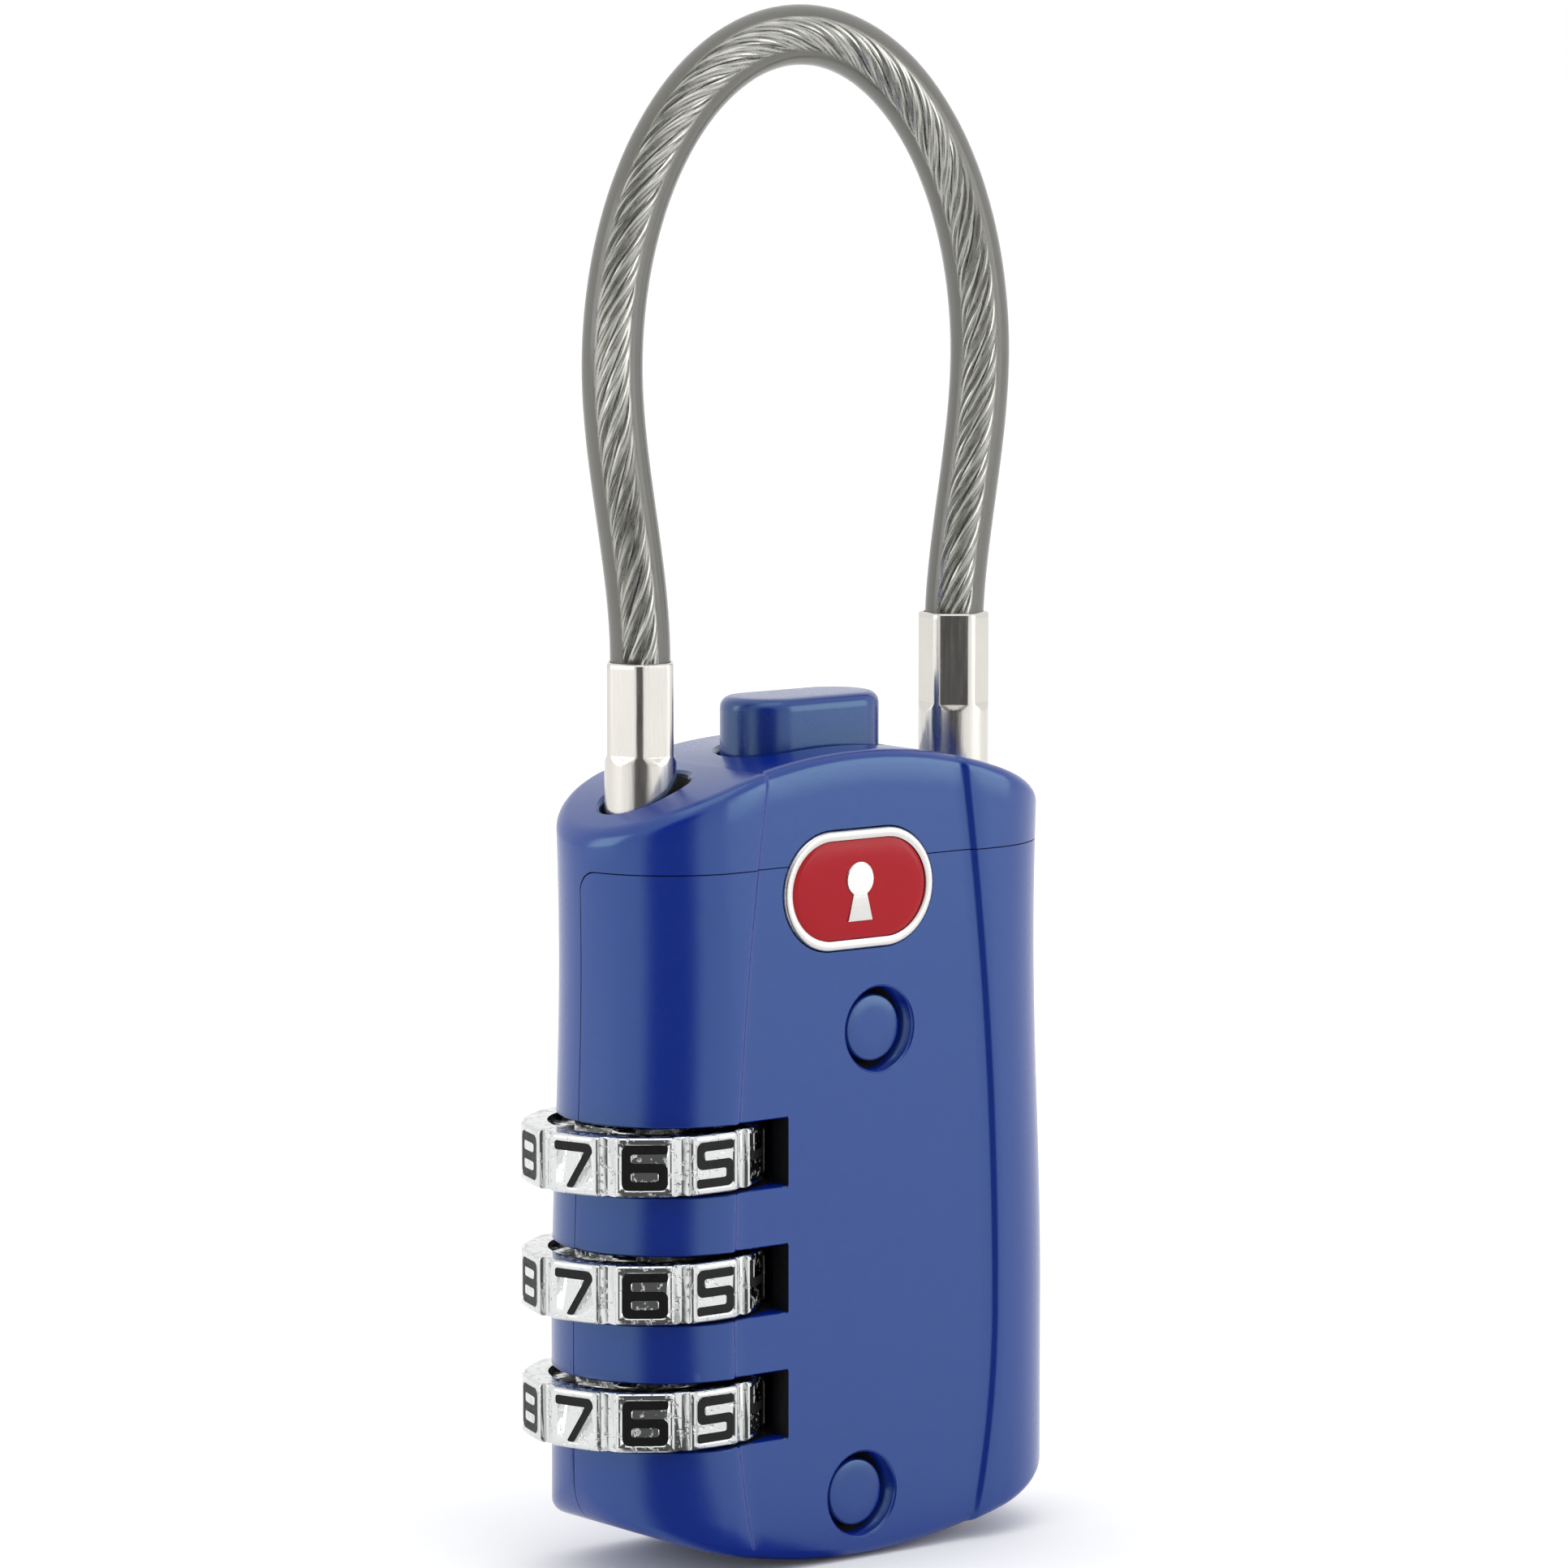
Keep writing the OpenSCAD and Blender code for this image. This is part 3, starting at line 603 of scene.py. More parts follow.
@dataclass(frozen=True)
class SprayedPaint(Finish):
    """Satin stoving paint sprayed on die-cast zinc: an even colour under a soft gloss, with
    a faint orange peel about a millimetre across that ripples what it mirrors."""

    peel_mm: float = 1.1

    def dress(self, tree: Tree, shader: bpy.types.Node, where: Socket) -> None:
        """Builds the paint.

        Args:
            tree: The node tree.
            shader: The Principled shader.
            where: Object coordinates.
        """
        shader.inputs["IOR"].default_value = 1.7
        shader.inputs["Specular Tint"].default_value = linear("#d0ffff")
        peel = self.pattern(tree, where, self.peel_mm, 2.0)
        self.work(tree, shader, peel, self.pattern(tree, where, self.grain_mm, 2.0), peel)


@dataclass(frozen=True)
class PlatedCasting(Finish):
    """Bright chrome over a rough small casting: mirror-like flats with pits and soft ripples
    that the thin plate doesn't fill. A negative rough_spread makes the pits the rougher."""

    ripple_mm: float = 1.3

    def dress(self, tree: Tree, shader: bpy.types.Node, where: Socket) -> None:
        """Builds the plated casting.

        Args:
            tree: The node tree.
            shader: The Principled shader.
            where: Object coordinates.
        """
        shader.inputs["Metallic"].default_value = 1.0
        ripple = self.pattern(tree, where, self.ripple_mm, 2.0)
        grit = self.pattern(tree, where, self.grain_mm, 4.0)
        pits = add_node(tree, "ShaderNodeMapRange", {"Value": grit, "From Min": 0.30, "From Max": 0.42}).outputs[0]
        both = add_node(tree, "ShaderNodeMath", {0: pits, 1: ripple}, operation="ADD").outputs[0]
        self.work(tree, shader, grit, grit, both)


@dataclass(frozen=True)
class DrawnMetal(Finish):
    """Metal drawn or brushed in one direction: fine lines along it that smear what it
    mirrors across them."""

    lines: Point = (1.0, 1.0, 0.06)
    cloud_mm: float = 2.5

    def dress(self, tree: Tree, shader: bpy.types.Node, where: Socket) -> None:
        """Builds the drawn metal.

        Args:
            tree: The node tree.
            shader: The Principled shader.
            where: Object coordinates.
        """
        shader.inputs["Metallic"].default_value = 1.0
        streaks = self.pattern(tree, where, self.grain_mm, 4.0, self.lines)
        self.work(tree, shader, self.pattern(tree, where, self.cloud_mm), streaks, streaks)


@dataclass(frozen=True)
class ClearPlastic(Finish):
    """Smoke-grey clear PVC drawn over the rope: the middle shows the rope, and the sides,
    where the plastic is looked through lengthwise, close to an even grey."""

    wave_mm: float = 2.2

    def dress(self, tree: Tree, shader: bpy.types.Node, where: Socket) -> None:
        """Builds the sheath.

        Args:
            tree: The node tree.
            shader: The Principled shader.
            where: Object coordinates.
        """
        shader.inputs["IOR"].default_value = 1.54
        waves = self.pattern(tree, where, self.wave_mm, 2.0)
        body = self.work(tree, shader, waves, waves, waves)
        along = add_node(tree, "ShaderNodeAttribute", attribute_name="along").outputs["Vector"]
        outward = add_node(tree, "ShaderNodeLayerWeight", {"Blend": 0.5}).outputs["Facing"]
        lengthwise = add_node(tree, "ShaderNodeLayerWeight", {"Blend": 0.5, "Normal": along}).outputs["Facing"]
        # the same look whichever way the cable runs: only the slope across it counts
        slope = add_node(tree, "ShaderNodeMath", {0: 1.0, 1: outward}, operation="SUBTRACT").outputs[0]
        slant = add_node(tree, "ShaderNodeMath", {0: 1.0, 1: lengthwise}, operation="SUBTRACT").outputs[0]
        square = add_node(tree, "ShaderNodeMath", {0: slant, 1: slant}, operation="MULTIPLY").outputs[0]
        rest = add_node(tree, "ShaderNodeMath", {0: 1.0, 1: square}, operation="SUBTRACT").outputs[0]
        root = add_node(tree, "ShaderNodeMath", {0: rest}, operation="SQRT").outputs[0]
        level = add_node(tree, "ShaderNodeMath", {0: slope, 1: root}, operation="DIVIDE").outputs[0]
        facing = add_node(tree, "ShaderNodeMath", {0: 1.0, 1: level}, operation="SUBTRACT").outputs[0]
        closing = {"Value": facing, "From Min": 0.14, "From Max": 0.22, "To Min": 0.24, "To Max": 0.98}
        rim = add_node(tree, "ShaderNodeMapRange", closing, interpolation_type="SMOOTHSTEP").outputs[0]
        darkening = {"Value": facing, "From Min": 0.45, "From Max": 0.9, "To Min": 1.0, "To Max": 0.45}
        edge = add_node(tree, "ShaderNodeMapRange", darkening).outputs[0]
        both = {"Factor": 1.0, 6: body, 7: edge}
        dimmed = add_node(tree, "ShaderNodeMix", both, data_type="RGBA", blend_type="MULTIPLY").outputs[2]
        tree.links.new(dimmed, shader.inputs["Base Color"])
        tree.links.new(rim, shader.inputs["Alpha"])


PAINT = SprayedPaint(
    "satin_blue_stoving_paint", "#011c7a", roughness=0.22, rough_spread=0.04, grain_mm=0.15, grain_depth=0.006,
    tint=0.05,
)
BUTTON_PAINT = SprayedPaint(
    "satin_blue_button_paint", "#011c74", roughness=0.24, rough_spread=0.04, grain_mm=0.15, grain_depth=0.006,
    tint=0.05,
)
# Near-black zinc on the deep inner faces and the window walls: painted shade that stands in for the shadow there.
PAINTED_SHADE_ZINC = Finish(
    "near_black_painted_shade_zinc", "#101115", gloss=0.2, roughness=0.62, rough_spread=0.1, grain_mm=0.25, tint=0.2
)
CHROME = PlatedCasting(
    "chrome_over_cast_zinc", "#cfd1d0", roughness=0.12, rough_spread=-0.06, grain_mm=0.35, grain_depth=0.03, tint=0.05
)
# Nickel over a drawn brass tube: a bright face with faint lines along the ferrule.
NICKEL = DrawnMetal(
    "bright_nickel_on_drawn_brass", "#cdcac4", roughness=0.22, rough_spread=0.07, grain_mm=0.18, grain_depth=0.007
)
# Stainless sheet brushed sideways: a soft shine broken by short lines.
BADGE_METAL = DrawnMetal(
    "brushed_steel_badge", "#cfcdca", roughness=0.27, grain_mm=0.12, grain_depth=0.004, lines=(0.05, 1.0, 1.0)
)
# Glass enamel fired into the badge: deep colour under a smooth wet gloss with faint waves.
ENAMEL = Finish(
    "red_vitreous_enamel", "#9c0c1a", gloss=0.2, roughness=0.12, rough_spread=0.03, grain_mm=0.8, grain_depth=0.006,
    tint=0.08,
)
# Filling paint wiped into the engraved numbers: matt black, a little uneven.
INK = Finish("black_filling_paint", "#101011", gloss=0.2, roughness=0.5, rough_spread=0.1, grain_mm=0.2, tint=0.25)
# Free-cutting brass turned on a lathe: fine rings from the tool, a warm satin shine.
BRASS = DrawnMetal("turned_brass", "#c9a55a", roughness=0.28, grain_mm=0.12, grain_depth=0.004, lines=(0.1, 0.1, 1.0))
# Hard-drawn spring wire and strip: a bright grey with lines along its length.
SPRING_STEEL = DrawnMetal(
    "hard_drawn_spring_steel", "#b4b7ba", roughness=0.3, grain_mm=0.1, grain_depth=0.003, lines=(1.0, 1.0, 0.2)
)
# Stamped steel with dull zinc plate: a grey satin with a cloudy crystalline mottle.
BOLT_STEEL = Finish(
    "zinc_plated_stamped_steel", "#a7abae", metallic=1.0, roughness=0.38, grain_mm=0.35, grain_depth=0.006, tint=0.12
)
# Galvanised wires laid into a rope: bright wires whose sides darken where they touch.
ROPE_STEEL = DrawnMetal(
    "galvanised_rope_wire", "#d2d2cc", roughness=0.3, rough_spread=0.1, grain_mm=0.25, grain_depth=0.006, tint=0.18,
    lines=(1.0, 1.0, 0.3),
)
SHEATH = ClearPlastic("smoke_clear_pvc", "#5b5a54", roughness=0.2, rough_spread=0.05, tint=0.08)


@dataclass
class BodyForm:
    """The outside form that both castings share, with its fillets and sunken panel."""

    top_drop: float = 4.3
    bottom_rise: float = 3.5
    corner_r: float = 2.2
    waist_in: float = 0.6
    belly_z: float = 13.0
    waist_z: float = 34.0
    panel_w: float = 17.9
    panel_top_w: float = 12.9
    panel_bottom_w: float = 14.6
    panel_depth: float = 0.3
    crease_w: float = 0.5
    arc_end: float = 85.0
    top_fillet: float = 0.75
    bottom_fillet: float = 0.6
    skin: float = 0.02
    levels: int = 34
    overcut: float = 0.3
    half_w: float = field(init=False)
    half_t: float = field(init=False)
    height: float = field(init=False)

    def __post_init__(self) -> None:
        """Takes the overall sizes from the frame."""
        body = Spot.of("rear_housing")
        self.half_w, self.half_t, self.height = body.high

    @staticmethod
    def arc_r(half: float, drop: float) -> float:
        """Radius of an arc that falls by drop over a half chord."""
        return (half * half + drop * drop) / (2 * drop)

    def top(self, x: float) -> float:
        """Height of the arched top above a place."""
        r = self.arc_r(self.half_w, self.top_drop)
        return self.height - r + math.sqrt(r * r - min(abs(x), self.half_w) ** 2)

    def bottom(self, x: float) -> float:
        """Height of the arched underside, rounded at the corners.

        Args:
            x: A place sideways.

        Returns:
            The height there.
        """
        x = min(abs(x), self.half_w)
        r = self.arc_r(self.half_w, self.bottom_rise)
        corner_x = self.half_w - self.corner_r
        if x * (r - self.corner_r) <= corner_x * r:
            return r - math.sqrt(r * r - x * x)
        corner_z = r - math.sqrt((r - self.corner_r) ** 2 - corner_x**2)
        return corner_z - math.sqrt(max(0.0, self.corner_r**2 - (x - corner_x) ** 2))

    def side(self, z: float) -> float:
        """Half width of the body at a height.

        Args:
            z: The height.

        Returns:
            The half width.
        """
        if z < self.belly_z:
            return self.half_w
        turn = math.pi * (z - self.belly_z) / (self.waist_z - self.belly_z)
        return self.half_w - self.waist_in * (1 - math.cos(turn)) / 2

    def panel_side(self, z: float) -> float:
        """Half width of the sunken panel at a height.

        Args:
            z: The height.

        Returns:
            The half width.
        """
        if z > self.belly_z:
            u, end_w = (z - self.belly_z) / (self.height - self.belly_z), self.panel_top_w
        else:
            u, end_w = (self.belly_z - z) / self.belly_z, self.panel_bottom_w
        return (self.panel_w - (self.panel_w - end_w) * u * u) / 2

    def stations(self) -> list[tuple[str, float, int]]:
        """Columns of the skin from the +X tip to the -X tip.

        Returns:
            For each column its kind, its value and its side.
        """
        arc = [("arc", self.arc_end * k / 20) for k in range(21)]
        crease = [("crease", self.crease_w * (1 - k / 6)) for k in range(7)]
        half = arc + [("flat", 0.5)] + crease
        panel = [("panel", 1 - k / 12, 1) for k in range(1, 24)]
        return [(*s, 1) for s in half] + panel + [(*s, -1) for s in reversed(half)]

    def across(self, station: tuple[str, float, int], z: float) -> float:
        """Sideways place of a column at a height.

        Args:
            station: The column.
            z: The height.

        Returns:
            The place.
        """
        kind, value, side = station
        centre = self.side(z) - self.half_t
        arc_end = centre + self.half_t * math.cos(math.radians(self.arc_end))
        x = {
            "arc": centre + self.half_t * math.cos(math.radians(value)),
            "flat": (arc_end + self.panel_side(z) + self.crease_w) / 2,
            "crease": self.panel_side(z) + value,
            "panel": value * self.panel_side(z),
        }[kind]
        return side * x

    def ring(self, inset: float, height: Callable[[float], float], guess: float) -> Ring:
        """One level of the skin.

        Args:
            inset: How far the ring lies inside the body's side.
            height: Height of a point from its sideways place.
            guess: Rough height of the ring.

        Returns:
            Points from the +X tip along the front to the -X tip and back.
        """
        inset += self.skin
        rows: dict[int, Ring] = {-1: [], 1: []}
        for station in self.stations():
            z = guess
            for _ in range(2):
                x = self.across(station, z)
                z = height(x)
            centre = self.side(z) - self.half_t
            over = max(0.0, abs(x) - centre)
            depth = math.sqrt(max(0.0, self.half_t**2 - over * over))
            nx = math.copysign(over / self.half_t, x)
            ny = depth / self.half_t
            sunk = self.panel_depth * (1 - smooth((abs(x) - self.panel_side(z)) / self.crease_w))
            px = x - nx * inset
            for row, dent in ((-1, sunk), (1, 0.0)):
                rows[row].append((px, row * (depth - ny * inset - dent), height(px)))
        return rows[-1] + rows[1][-2:0:-1]

    def envelope(self) -> bpy.types.Object:
        """The filleted outside form as a closed solid.

        Returns:
            The solid, on the bench.
        """
        f, g = self.bottom_fillet, self.top_fillet
        rings = [
            self.ring(inset, lambda x, up=up: self.bottom(x) + self.skin + up, 1.0)
            for inset, up in rounding(f, 90, 72, 54, 36, 18, 0)
        ]
        for v in (k / self.levels for k in range(1, self.levels)):
            rings.append(
                self.ring(0.0, lambda x, v=v: (1 - v) * (self.bottom(x) + f) + v * (self.top(x) - g), v * self.height)
            )
        rings += [
            self.ring(inset, lambda x, down=down: self.top(x) - self.skin - down, self.height)
            for inset, down in rounding(g, 0, 18, 36, 54, 72, 90)
        ]
        bm = bmesh.new()
        loops = Bench.loft(bm, rings)
        Bench.ruled_lid(bm, loops[0])
        Bench.ruled_lid(bm, loops[-1])
        return Bench.piece(bm, "form")

    def window_lips(self, z: float, tall: float, end_x: float, lip: float) -> bpy.types.Object:
        """A tool that rounds the long edges of one dial window.

        Args:
            z: Height of the window's middle.
            tall: Height of the window.
            end_x: Where the window ends, sideways.
            lip: Radius of the rounded edge.

        Returns:
            The tool.
        """
        inner = self.half_t - 1.2
        profile = [(inner, tall / 2 - 0.05), (lip + 0.06, tall / 2 - 0.05)]
        profile += [(inset, tall / 2 + out) for out, inset in rounding(lip, 15, 35, 55, 75)]
        profile.append((-self.overcut, profile[-1][1] + 1.1))
        levels = [(i, z - h) for i, h in profile] + [(i, z + h) for i, h in reversed(profile)]
        bm = bmesh.new()
        Bench.closed(bm, [self.ring(i - self.skin, lambda x, h=h: h, h) for i, h in levels])
        geometry = bm.verts[:] + bm.edges[:] + bm.faces[:]
        wall = (end_x - 0.05, 0, 0)
        cut = bmesh.ops.bisect_plane(bm, geom=geometry, plane_co=wall, plane_no=(1, 0, 0), clear_outer=True)
        bmesh.ops.contextual_create(bm, geom=[g for g in cut["geom_cut"] if isinstance(g, bmesh.types.BMEdge)])
        return Bench.piece(bm, "window_tool")

    def mouth_lip(self, x: float, half_run: float, r: float, lip: float) -> bpy.types.Object:
        """A tool that rounds the rim of a hole in the arched top.

        Args:
            x: Middle of the hole, sideways.
            half_run: Half the straight run of a slotted hole, 0 for a round one.
            r: Radius of the hole's ends.
            lip: Radius of the rounded rim.

        Returns:
            The tool.
        """
        def level(off: float, drop: float) -> Ring:
            """One ring, off the hole's wall and below the top."""
            return [(px, py, self.top(px) - self.skin - drop) for px, py in slotted(x, half_run, r + off, 48)]

        steps = [(-self.overcut, lip + 0.25), *rounding(lip, 12, 32, 54, 76)]
        steps.append((steps[-1][0] + 0.15, -0.5))
        return Bench.lofted("mouth_tool", [level(off, drop) for off, drop in steps])

    def rivet_lip(self, x: float, z: float, r: float, lip: float) -> bpy.types.Object:
        """A tool that rounds the rim of a rivet's recess.

        Args:
            x: Middle of the recess, sideways.
            z: Height of the middle.
            r: Radius of the recess.
            lip: Radius of the rounded rim.

        Returns:
            The tool.
        """
        face = -self.half_t + self.panel_depth + self.skin
        steps = [(-self.overcut, lip + 0.25), *rounding(lip, 12, 32, 54, 76)]
        steps.append((steps[-1][0] + 0.1, -0.4))
        rings = [
            [(x + (r + off) * math.cos(a), face + drop, z + (r + off) * math.sin(a)) for a in turns(48)]
            for off, drop in steps
        ]
        return Bench.lofted("rivet_tool", rings)


@dataclass
class Castings:
    """The rear housing with its cap, and the front cover."""

    form: BodyForm
    window_h: float = 3.75
    window_x: float = -5.36
    window_lip: float = 0.22
    mouth_r: float = 2.2
    mouth_shift: float = 0.6
    button_gap: float = 0.17
    ferrule_gap: float = 0.05
    ferrule_lip: float = 0.15
    recess_r: float = 2.35
    recess_lip: float = 0.16
    rim_lip: float = 0.3
    # faces deeper in than this take the near-black painted shade instead of the blue paint; window_painted does the
    # same in the dial windows
    painted: float = 0.78
    window_painted: float = 0.3

    def tools(self) -> list[bpy.types.Object]:
        """The lip tools of every opening.

        Returns:
            The tools, on the bench.
        """
        form = self.form
        made = [
            form.window_lips(Spot.of(f"{n}_dial").middle.z, self.window_h, self.window_x, self.window_lip)
            for n in ("upper", "middle", "lower")
        ]
        free, fixed, button = Spot.of("free_ferrule"), Spot.of("fixed_ferrule"), Spot.of("push_button")
        half = self.mouth_shift / 2
        made.append(form.mouth_lip(free.middle.x + half, half, self.mouth_r, self.rim_lip))
        made.append(form.mouth_lip(fixed.middle.x, 0.0, fixed.size.x / 2 + self.ferrule_gap, self.ferrule_lip))
        button_r, run = PushButton.sizes(button)
        made.append(form.mouth_lip(0.0, run, button_r + self.button_gap, self.rim_lip))
        made += [form.rivet_lip(x, z, self.recess_r, self.recess_lip) for x, z in Rivets.middles()]
        return made

    def build(self) -> None:
        """Makes both castings."""
        for node, name in (("rear_housing", "housing_casting"), ("front_cover", "front_casting")):
            shell, outside = Bench.node_copy(node), self.form.envelope()
            skin = Skin(outside, self.painted, self.window_x + 0.2, self.window_painted)
            Bench.carve(shell, [outside], Carving.KEEP_INSIDE)
            Bench.carve(shell, self.tools(), Carving.REMOVE)
            Bench.settle(shell, name, skin=skin)
            Bench.hand_over(shell, PAINT, Slot.PAINT, "housing", node)
            # second material: the near-black painted shade on the deep faces and the window walls
            shell.data.materials.append(PAINTED_SHADE_ZINC.material())


@dataclass
class PushButton:
    """The release button, with a rounded top."""

    fillet: float = 0.65
    flange_x: float = 2.0
    flange_y: float = 1.6
    stem_h: float = 6.4
    crown: float = 0.008
    skin: float = 0.01
    # faces deeper in than this take the near-black painted shade instead of the blue paint
    painted: float = 0.78

    @classmethod
    def sizes(cls, spot: Spot) -> tuple[float, float]:
        """End radius and half the straight run of the button's plan, without its flange."""
        depth, width = spot.size.y - cls.flange_y, spot.size.x - cls.flange_x
        return depth / 2, (width - depth) / 2

    def build(self) -> None:
        """Makes the button."""
        spot = Spot.of("push_button")
        r, run = self.sizes(spot)
        foot_top, top, clear = spot.high.z - self.stem_h, spot.high.z - self.skin, 1.5
        steps = [(clear, spot.low.z - 1), (clear, foot_top), (-self.skin, foot_top + 0.001)]
        steps += [(-self.skin - inset, top - down) for inset, down in rounding(self.fillet, 0, 18, 36, 54, 72, 90)]
        # the middle of the pressing face is crowned very slightly
        steps.append((-clear, top + self.crown))
        rings = [[(x, y, z) for x, y in slotted(0.0, run, r + off, 64)] for off, z in steps]
        button, outside = Bench.node_copy("push_button"), Bench.lofted("button_form", rings)
        skin = Skin(outside, self.painted)
        Bench.carve(button, [outside], Carving.KEEP_INSIDE)
        Bench.settle(button, "release_button", skin=skin)
        Bench.hand_over(button, BUTTON_PAINT, Slot.BUTTON, "button", "push_button")
        # second material: the near-black painted shade on the deep faces
        button.data.materials.append(PAINTED_SHADE_ZINC.material())


@dataclass
class Rivets:
    """The two blind rivets in their recesses."""

    head_r: float = 1.85
    shank_r: float = 1.1
    head_h: float = 0.7
    edge: float = 0.13

    @classmethod
    def middles(cls) -> list[tuple[float, float]]:
        """Where the upper and the lower rivet stand, sideways and up."""
        spot, r = Spot.of("rivets"), cls.head_r
        return [(spot.high.x - r, spot.high.z - r), (spot.low.x + r, spot.low.z + r)]

    def build(self) -> None:
        """Makes both rivets as one piece."""
        spot = Spot.of("rivets")
        face, seat, shank_end = spot.low.y, spot.low.y + self.head_h, spot.high.y
        levels = [(self.shank_r - 0.2, shank_end), (self.shank_r, shank_end - 0.2)]
        levels += [(self.shank_r, seat), (self.head_r, seat)]
        levels += [(self.head_r - inset, face + 0.02 + down) for inset, down in rounding(self.edge, 0, 30, 60, 90)]
        levels += [(self.head_r * 0.55, face + 0.005), (self.head_r * 0.2, face)]
        made = []
        for x, z in self.middles():
            rings = [[(x + r * math.cos(a), y, z + r * math.sin(a)) for a in turns(48)] for r, y in levels]
            made.append(Bench.lofted("rivet", rings))
        piece = Bench.settle(Bench.join("rivet_pair", made), "cover_rivets")
        Bench.hand_over(piece, PAINT, Slot.PAINT, "housing", "rivets")


@dataclass
class Dials:
    """The three number dials, engraved and filled."""

    across: float = 13.17
    pad_w: float = 3.14
    step: float = 0.15
    crown: float = 0.06
    rim: float = 0.2
    digit_w: float = 2.5
    digit_h: float = 2.5
    bend_r: float = 0.38
    tip_r: float = 0.15
    nook_r: float = 0.16
    engraved: float = 0.13
    ink_below: float = 0.05
    slack: float = 0.01
    crisp: float = math.radians(25)

    # Squarish numerals on a board five cells wide and five high.
    BOARDS = {
        "0": ("#####", "#...#", "#...#", "#...#", "#####"),
        "1": ("..##.", "..##.", "..##.", "..##.", "..##."),
        "2": ("#####", "....#", "#####", "#....", "#####"),
        "3": ("#####", "....#", ".####", "....#", "#####"),
        "4": ("#...#", "#...#", "#####", "....#", "....#"),
        "5": ("#####", "#....", "#####", "....#", "#####"),
        "6": ("#####", "#....", "#####", "#...#", "#####"),
        "7": ("#####", "....#", "....#", "....#", "....#"),
        "8": ("#####", "#...#", "#####", "#...#", "#####"),
        "9": ("#####", "#...#", "#####", "....#", "#####"),
    }
    # Directions in which the pads face, in degrees, with the number on each.
    FACING = {-90: "5", -126: "6", -162: "7", 162: "8", 126: "9", 90: "0", 54: "1", 18: "2", -18: "3", -54: "4"}

    def outline(self, inset: float, z: float, centre: Vector) -> Ring:
        """The rim's outline: ten flat pads with sunken strips between them.

        Args:
            inset: How far inside the rim.
            z: Height.
            centre: The dial's middle.

        Returns:
            The ring of points.
        """
        outer = self.across / 2 - self.slack
        strip = self.across / 2 - self.step - self.slack
        half = self.pad_w / 2
        crown = [(u, outer - self.crown * (u / half) ** 2) for u in (-half + 0.12, -1.1, -0.7, -0.35)]
        side = [(-half - 0.05, strip - 0.01), (-half + 0.02, crown[0][1] - 0.05), *crown]
        local = side + [(0.0, outer)] + [(-u, r) for u, r in reversed(side)]
        ring = []
        for k in range(len(self.BOARDS)):
            facing = math.radians(36 * k + 18)
            c, s = math.cos(facing), math.sin(facing)
            gap = facing - math.radians(18)
            points = [(strip * math.cos(gap), strip * math.sin(gap))]
            points += [(r * c - u * s, r * s + u * c) for u, r in local]
            for px, py in points:
                shrink = 1 - inset / math.hypot(px, py)
                ring.append((centre.x + px * shrink, centre.y + py * shrink, z))
        return ring

    def numeral(self, digit: str, low: float, high: float) -> bpy.types.Object:
        """One numeral as a solid, its face in the XY plane.

        Args:
            digit: Which numeral.
            low: Where the solid starts along Z.
            high: Where it ends.

        Returns:
            The solid.
        """
        bm = bmesh.new()
        bmesh.ops.create_grid(bm, x_segments=5, y_segments=5, size=0.5)
        board = self.BOARDS[digit]
        unused = []
        for cell in bm.faces:
            column, row = (int((c + 0.5) * 5) for c in cell.calc_center_median()[:2])
            if board[4 - row][column] == ".":
                unused.append(cell)
        bmesh.ops.delete(bm, geom=unused, context="FACES")
        if digit == "7":
            for vert in bm.verts:
                vert.co.x -= max(0.0, 0.3 - vert.co.y) * 0.62
        bmesh.ops.scale(bm, vec=(self.digit_w, self.digit_h, 1), verts=bm.verts)
        for vert in bm.verts:
            vert.co.z = low
        rounding = {self.bend_r: [], self.tip_r: [], self.nook_r: []}
        for vert in bm.verts:
            if len(vert.link_faces) == 1:
                joined = sum(len(edge.link_faces) == 2 for edge in vert.link_faces[0].edges)
                rounding[self.bend_r if joined > 1 else self.tip_r].append(vert)
            elif len(vert.link_faces) == 3:
                rounding[self.nook_r].append(vert)
        grown = bmesh.ops.extrude_face_region(bm, geom=bm.faces[:], use_keep_orig=True)["geom"]
        for vert in (g for g in grown if isinstance(g, bmesh.types.BMVert)):
            vert.co.z = high
        bmesh.ops.recalc_face_normals(bm, faces=bm.faces)
        for r, verts in rounding.items():
            links = [(e, abs(e.other_vert(v).co.z - v.co.z)) for v in verts for e in v.link_edges]
            upright = [e for e, rise in links if rise > (high - low) / 2]
            bmesh.ops.bevel(bm, geom=upright, offset=r, segments=4, profile=0.5, affect="EDGES", material=-1)
        return Bench.piece(bm, "numeral")

    def numerals(self, centre: Vector, low: float, high: float, name: str) -> bpy.types.Object:
        """All ten numerals of a dial, standing on its pads.

        Args:
            centre: The dial's middle.
            low: Inner distance from the dial's axis.
            high: Outer distance.
            name: The piece's name.

        Returns:
            The joined numerals.
        """
        made = []
        for degrees, digit in self.FACING.items():
            piece = self.numeral(digit, low, high)
            a = math.radians(degrees)
            out = Vector((math.cos(a), math.sin(a), 0))
            right = Vector((-math.sin(a), math.cos(a), 0))
            turned = Matrix((right, Vector((0, 0, 1)), out)).transposed().to_4x4()
            piece.data.transform(Matrix.Translation(centre) @ turned)
            made.append(piece)
        return Bench.join(name, made)

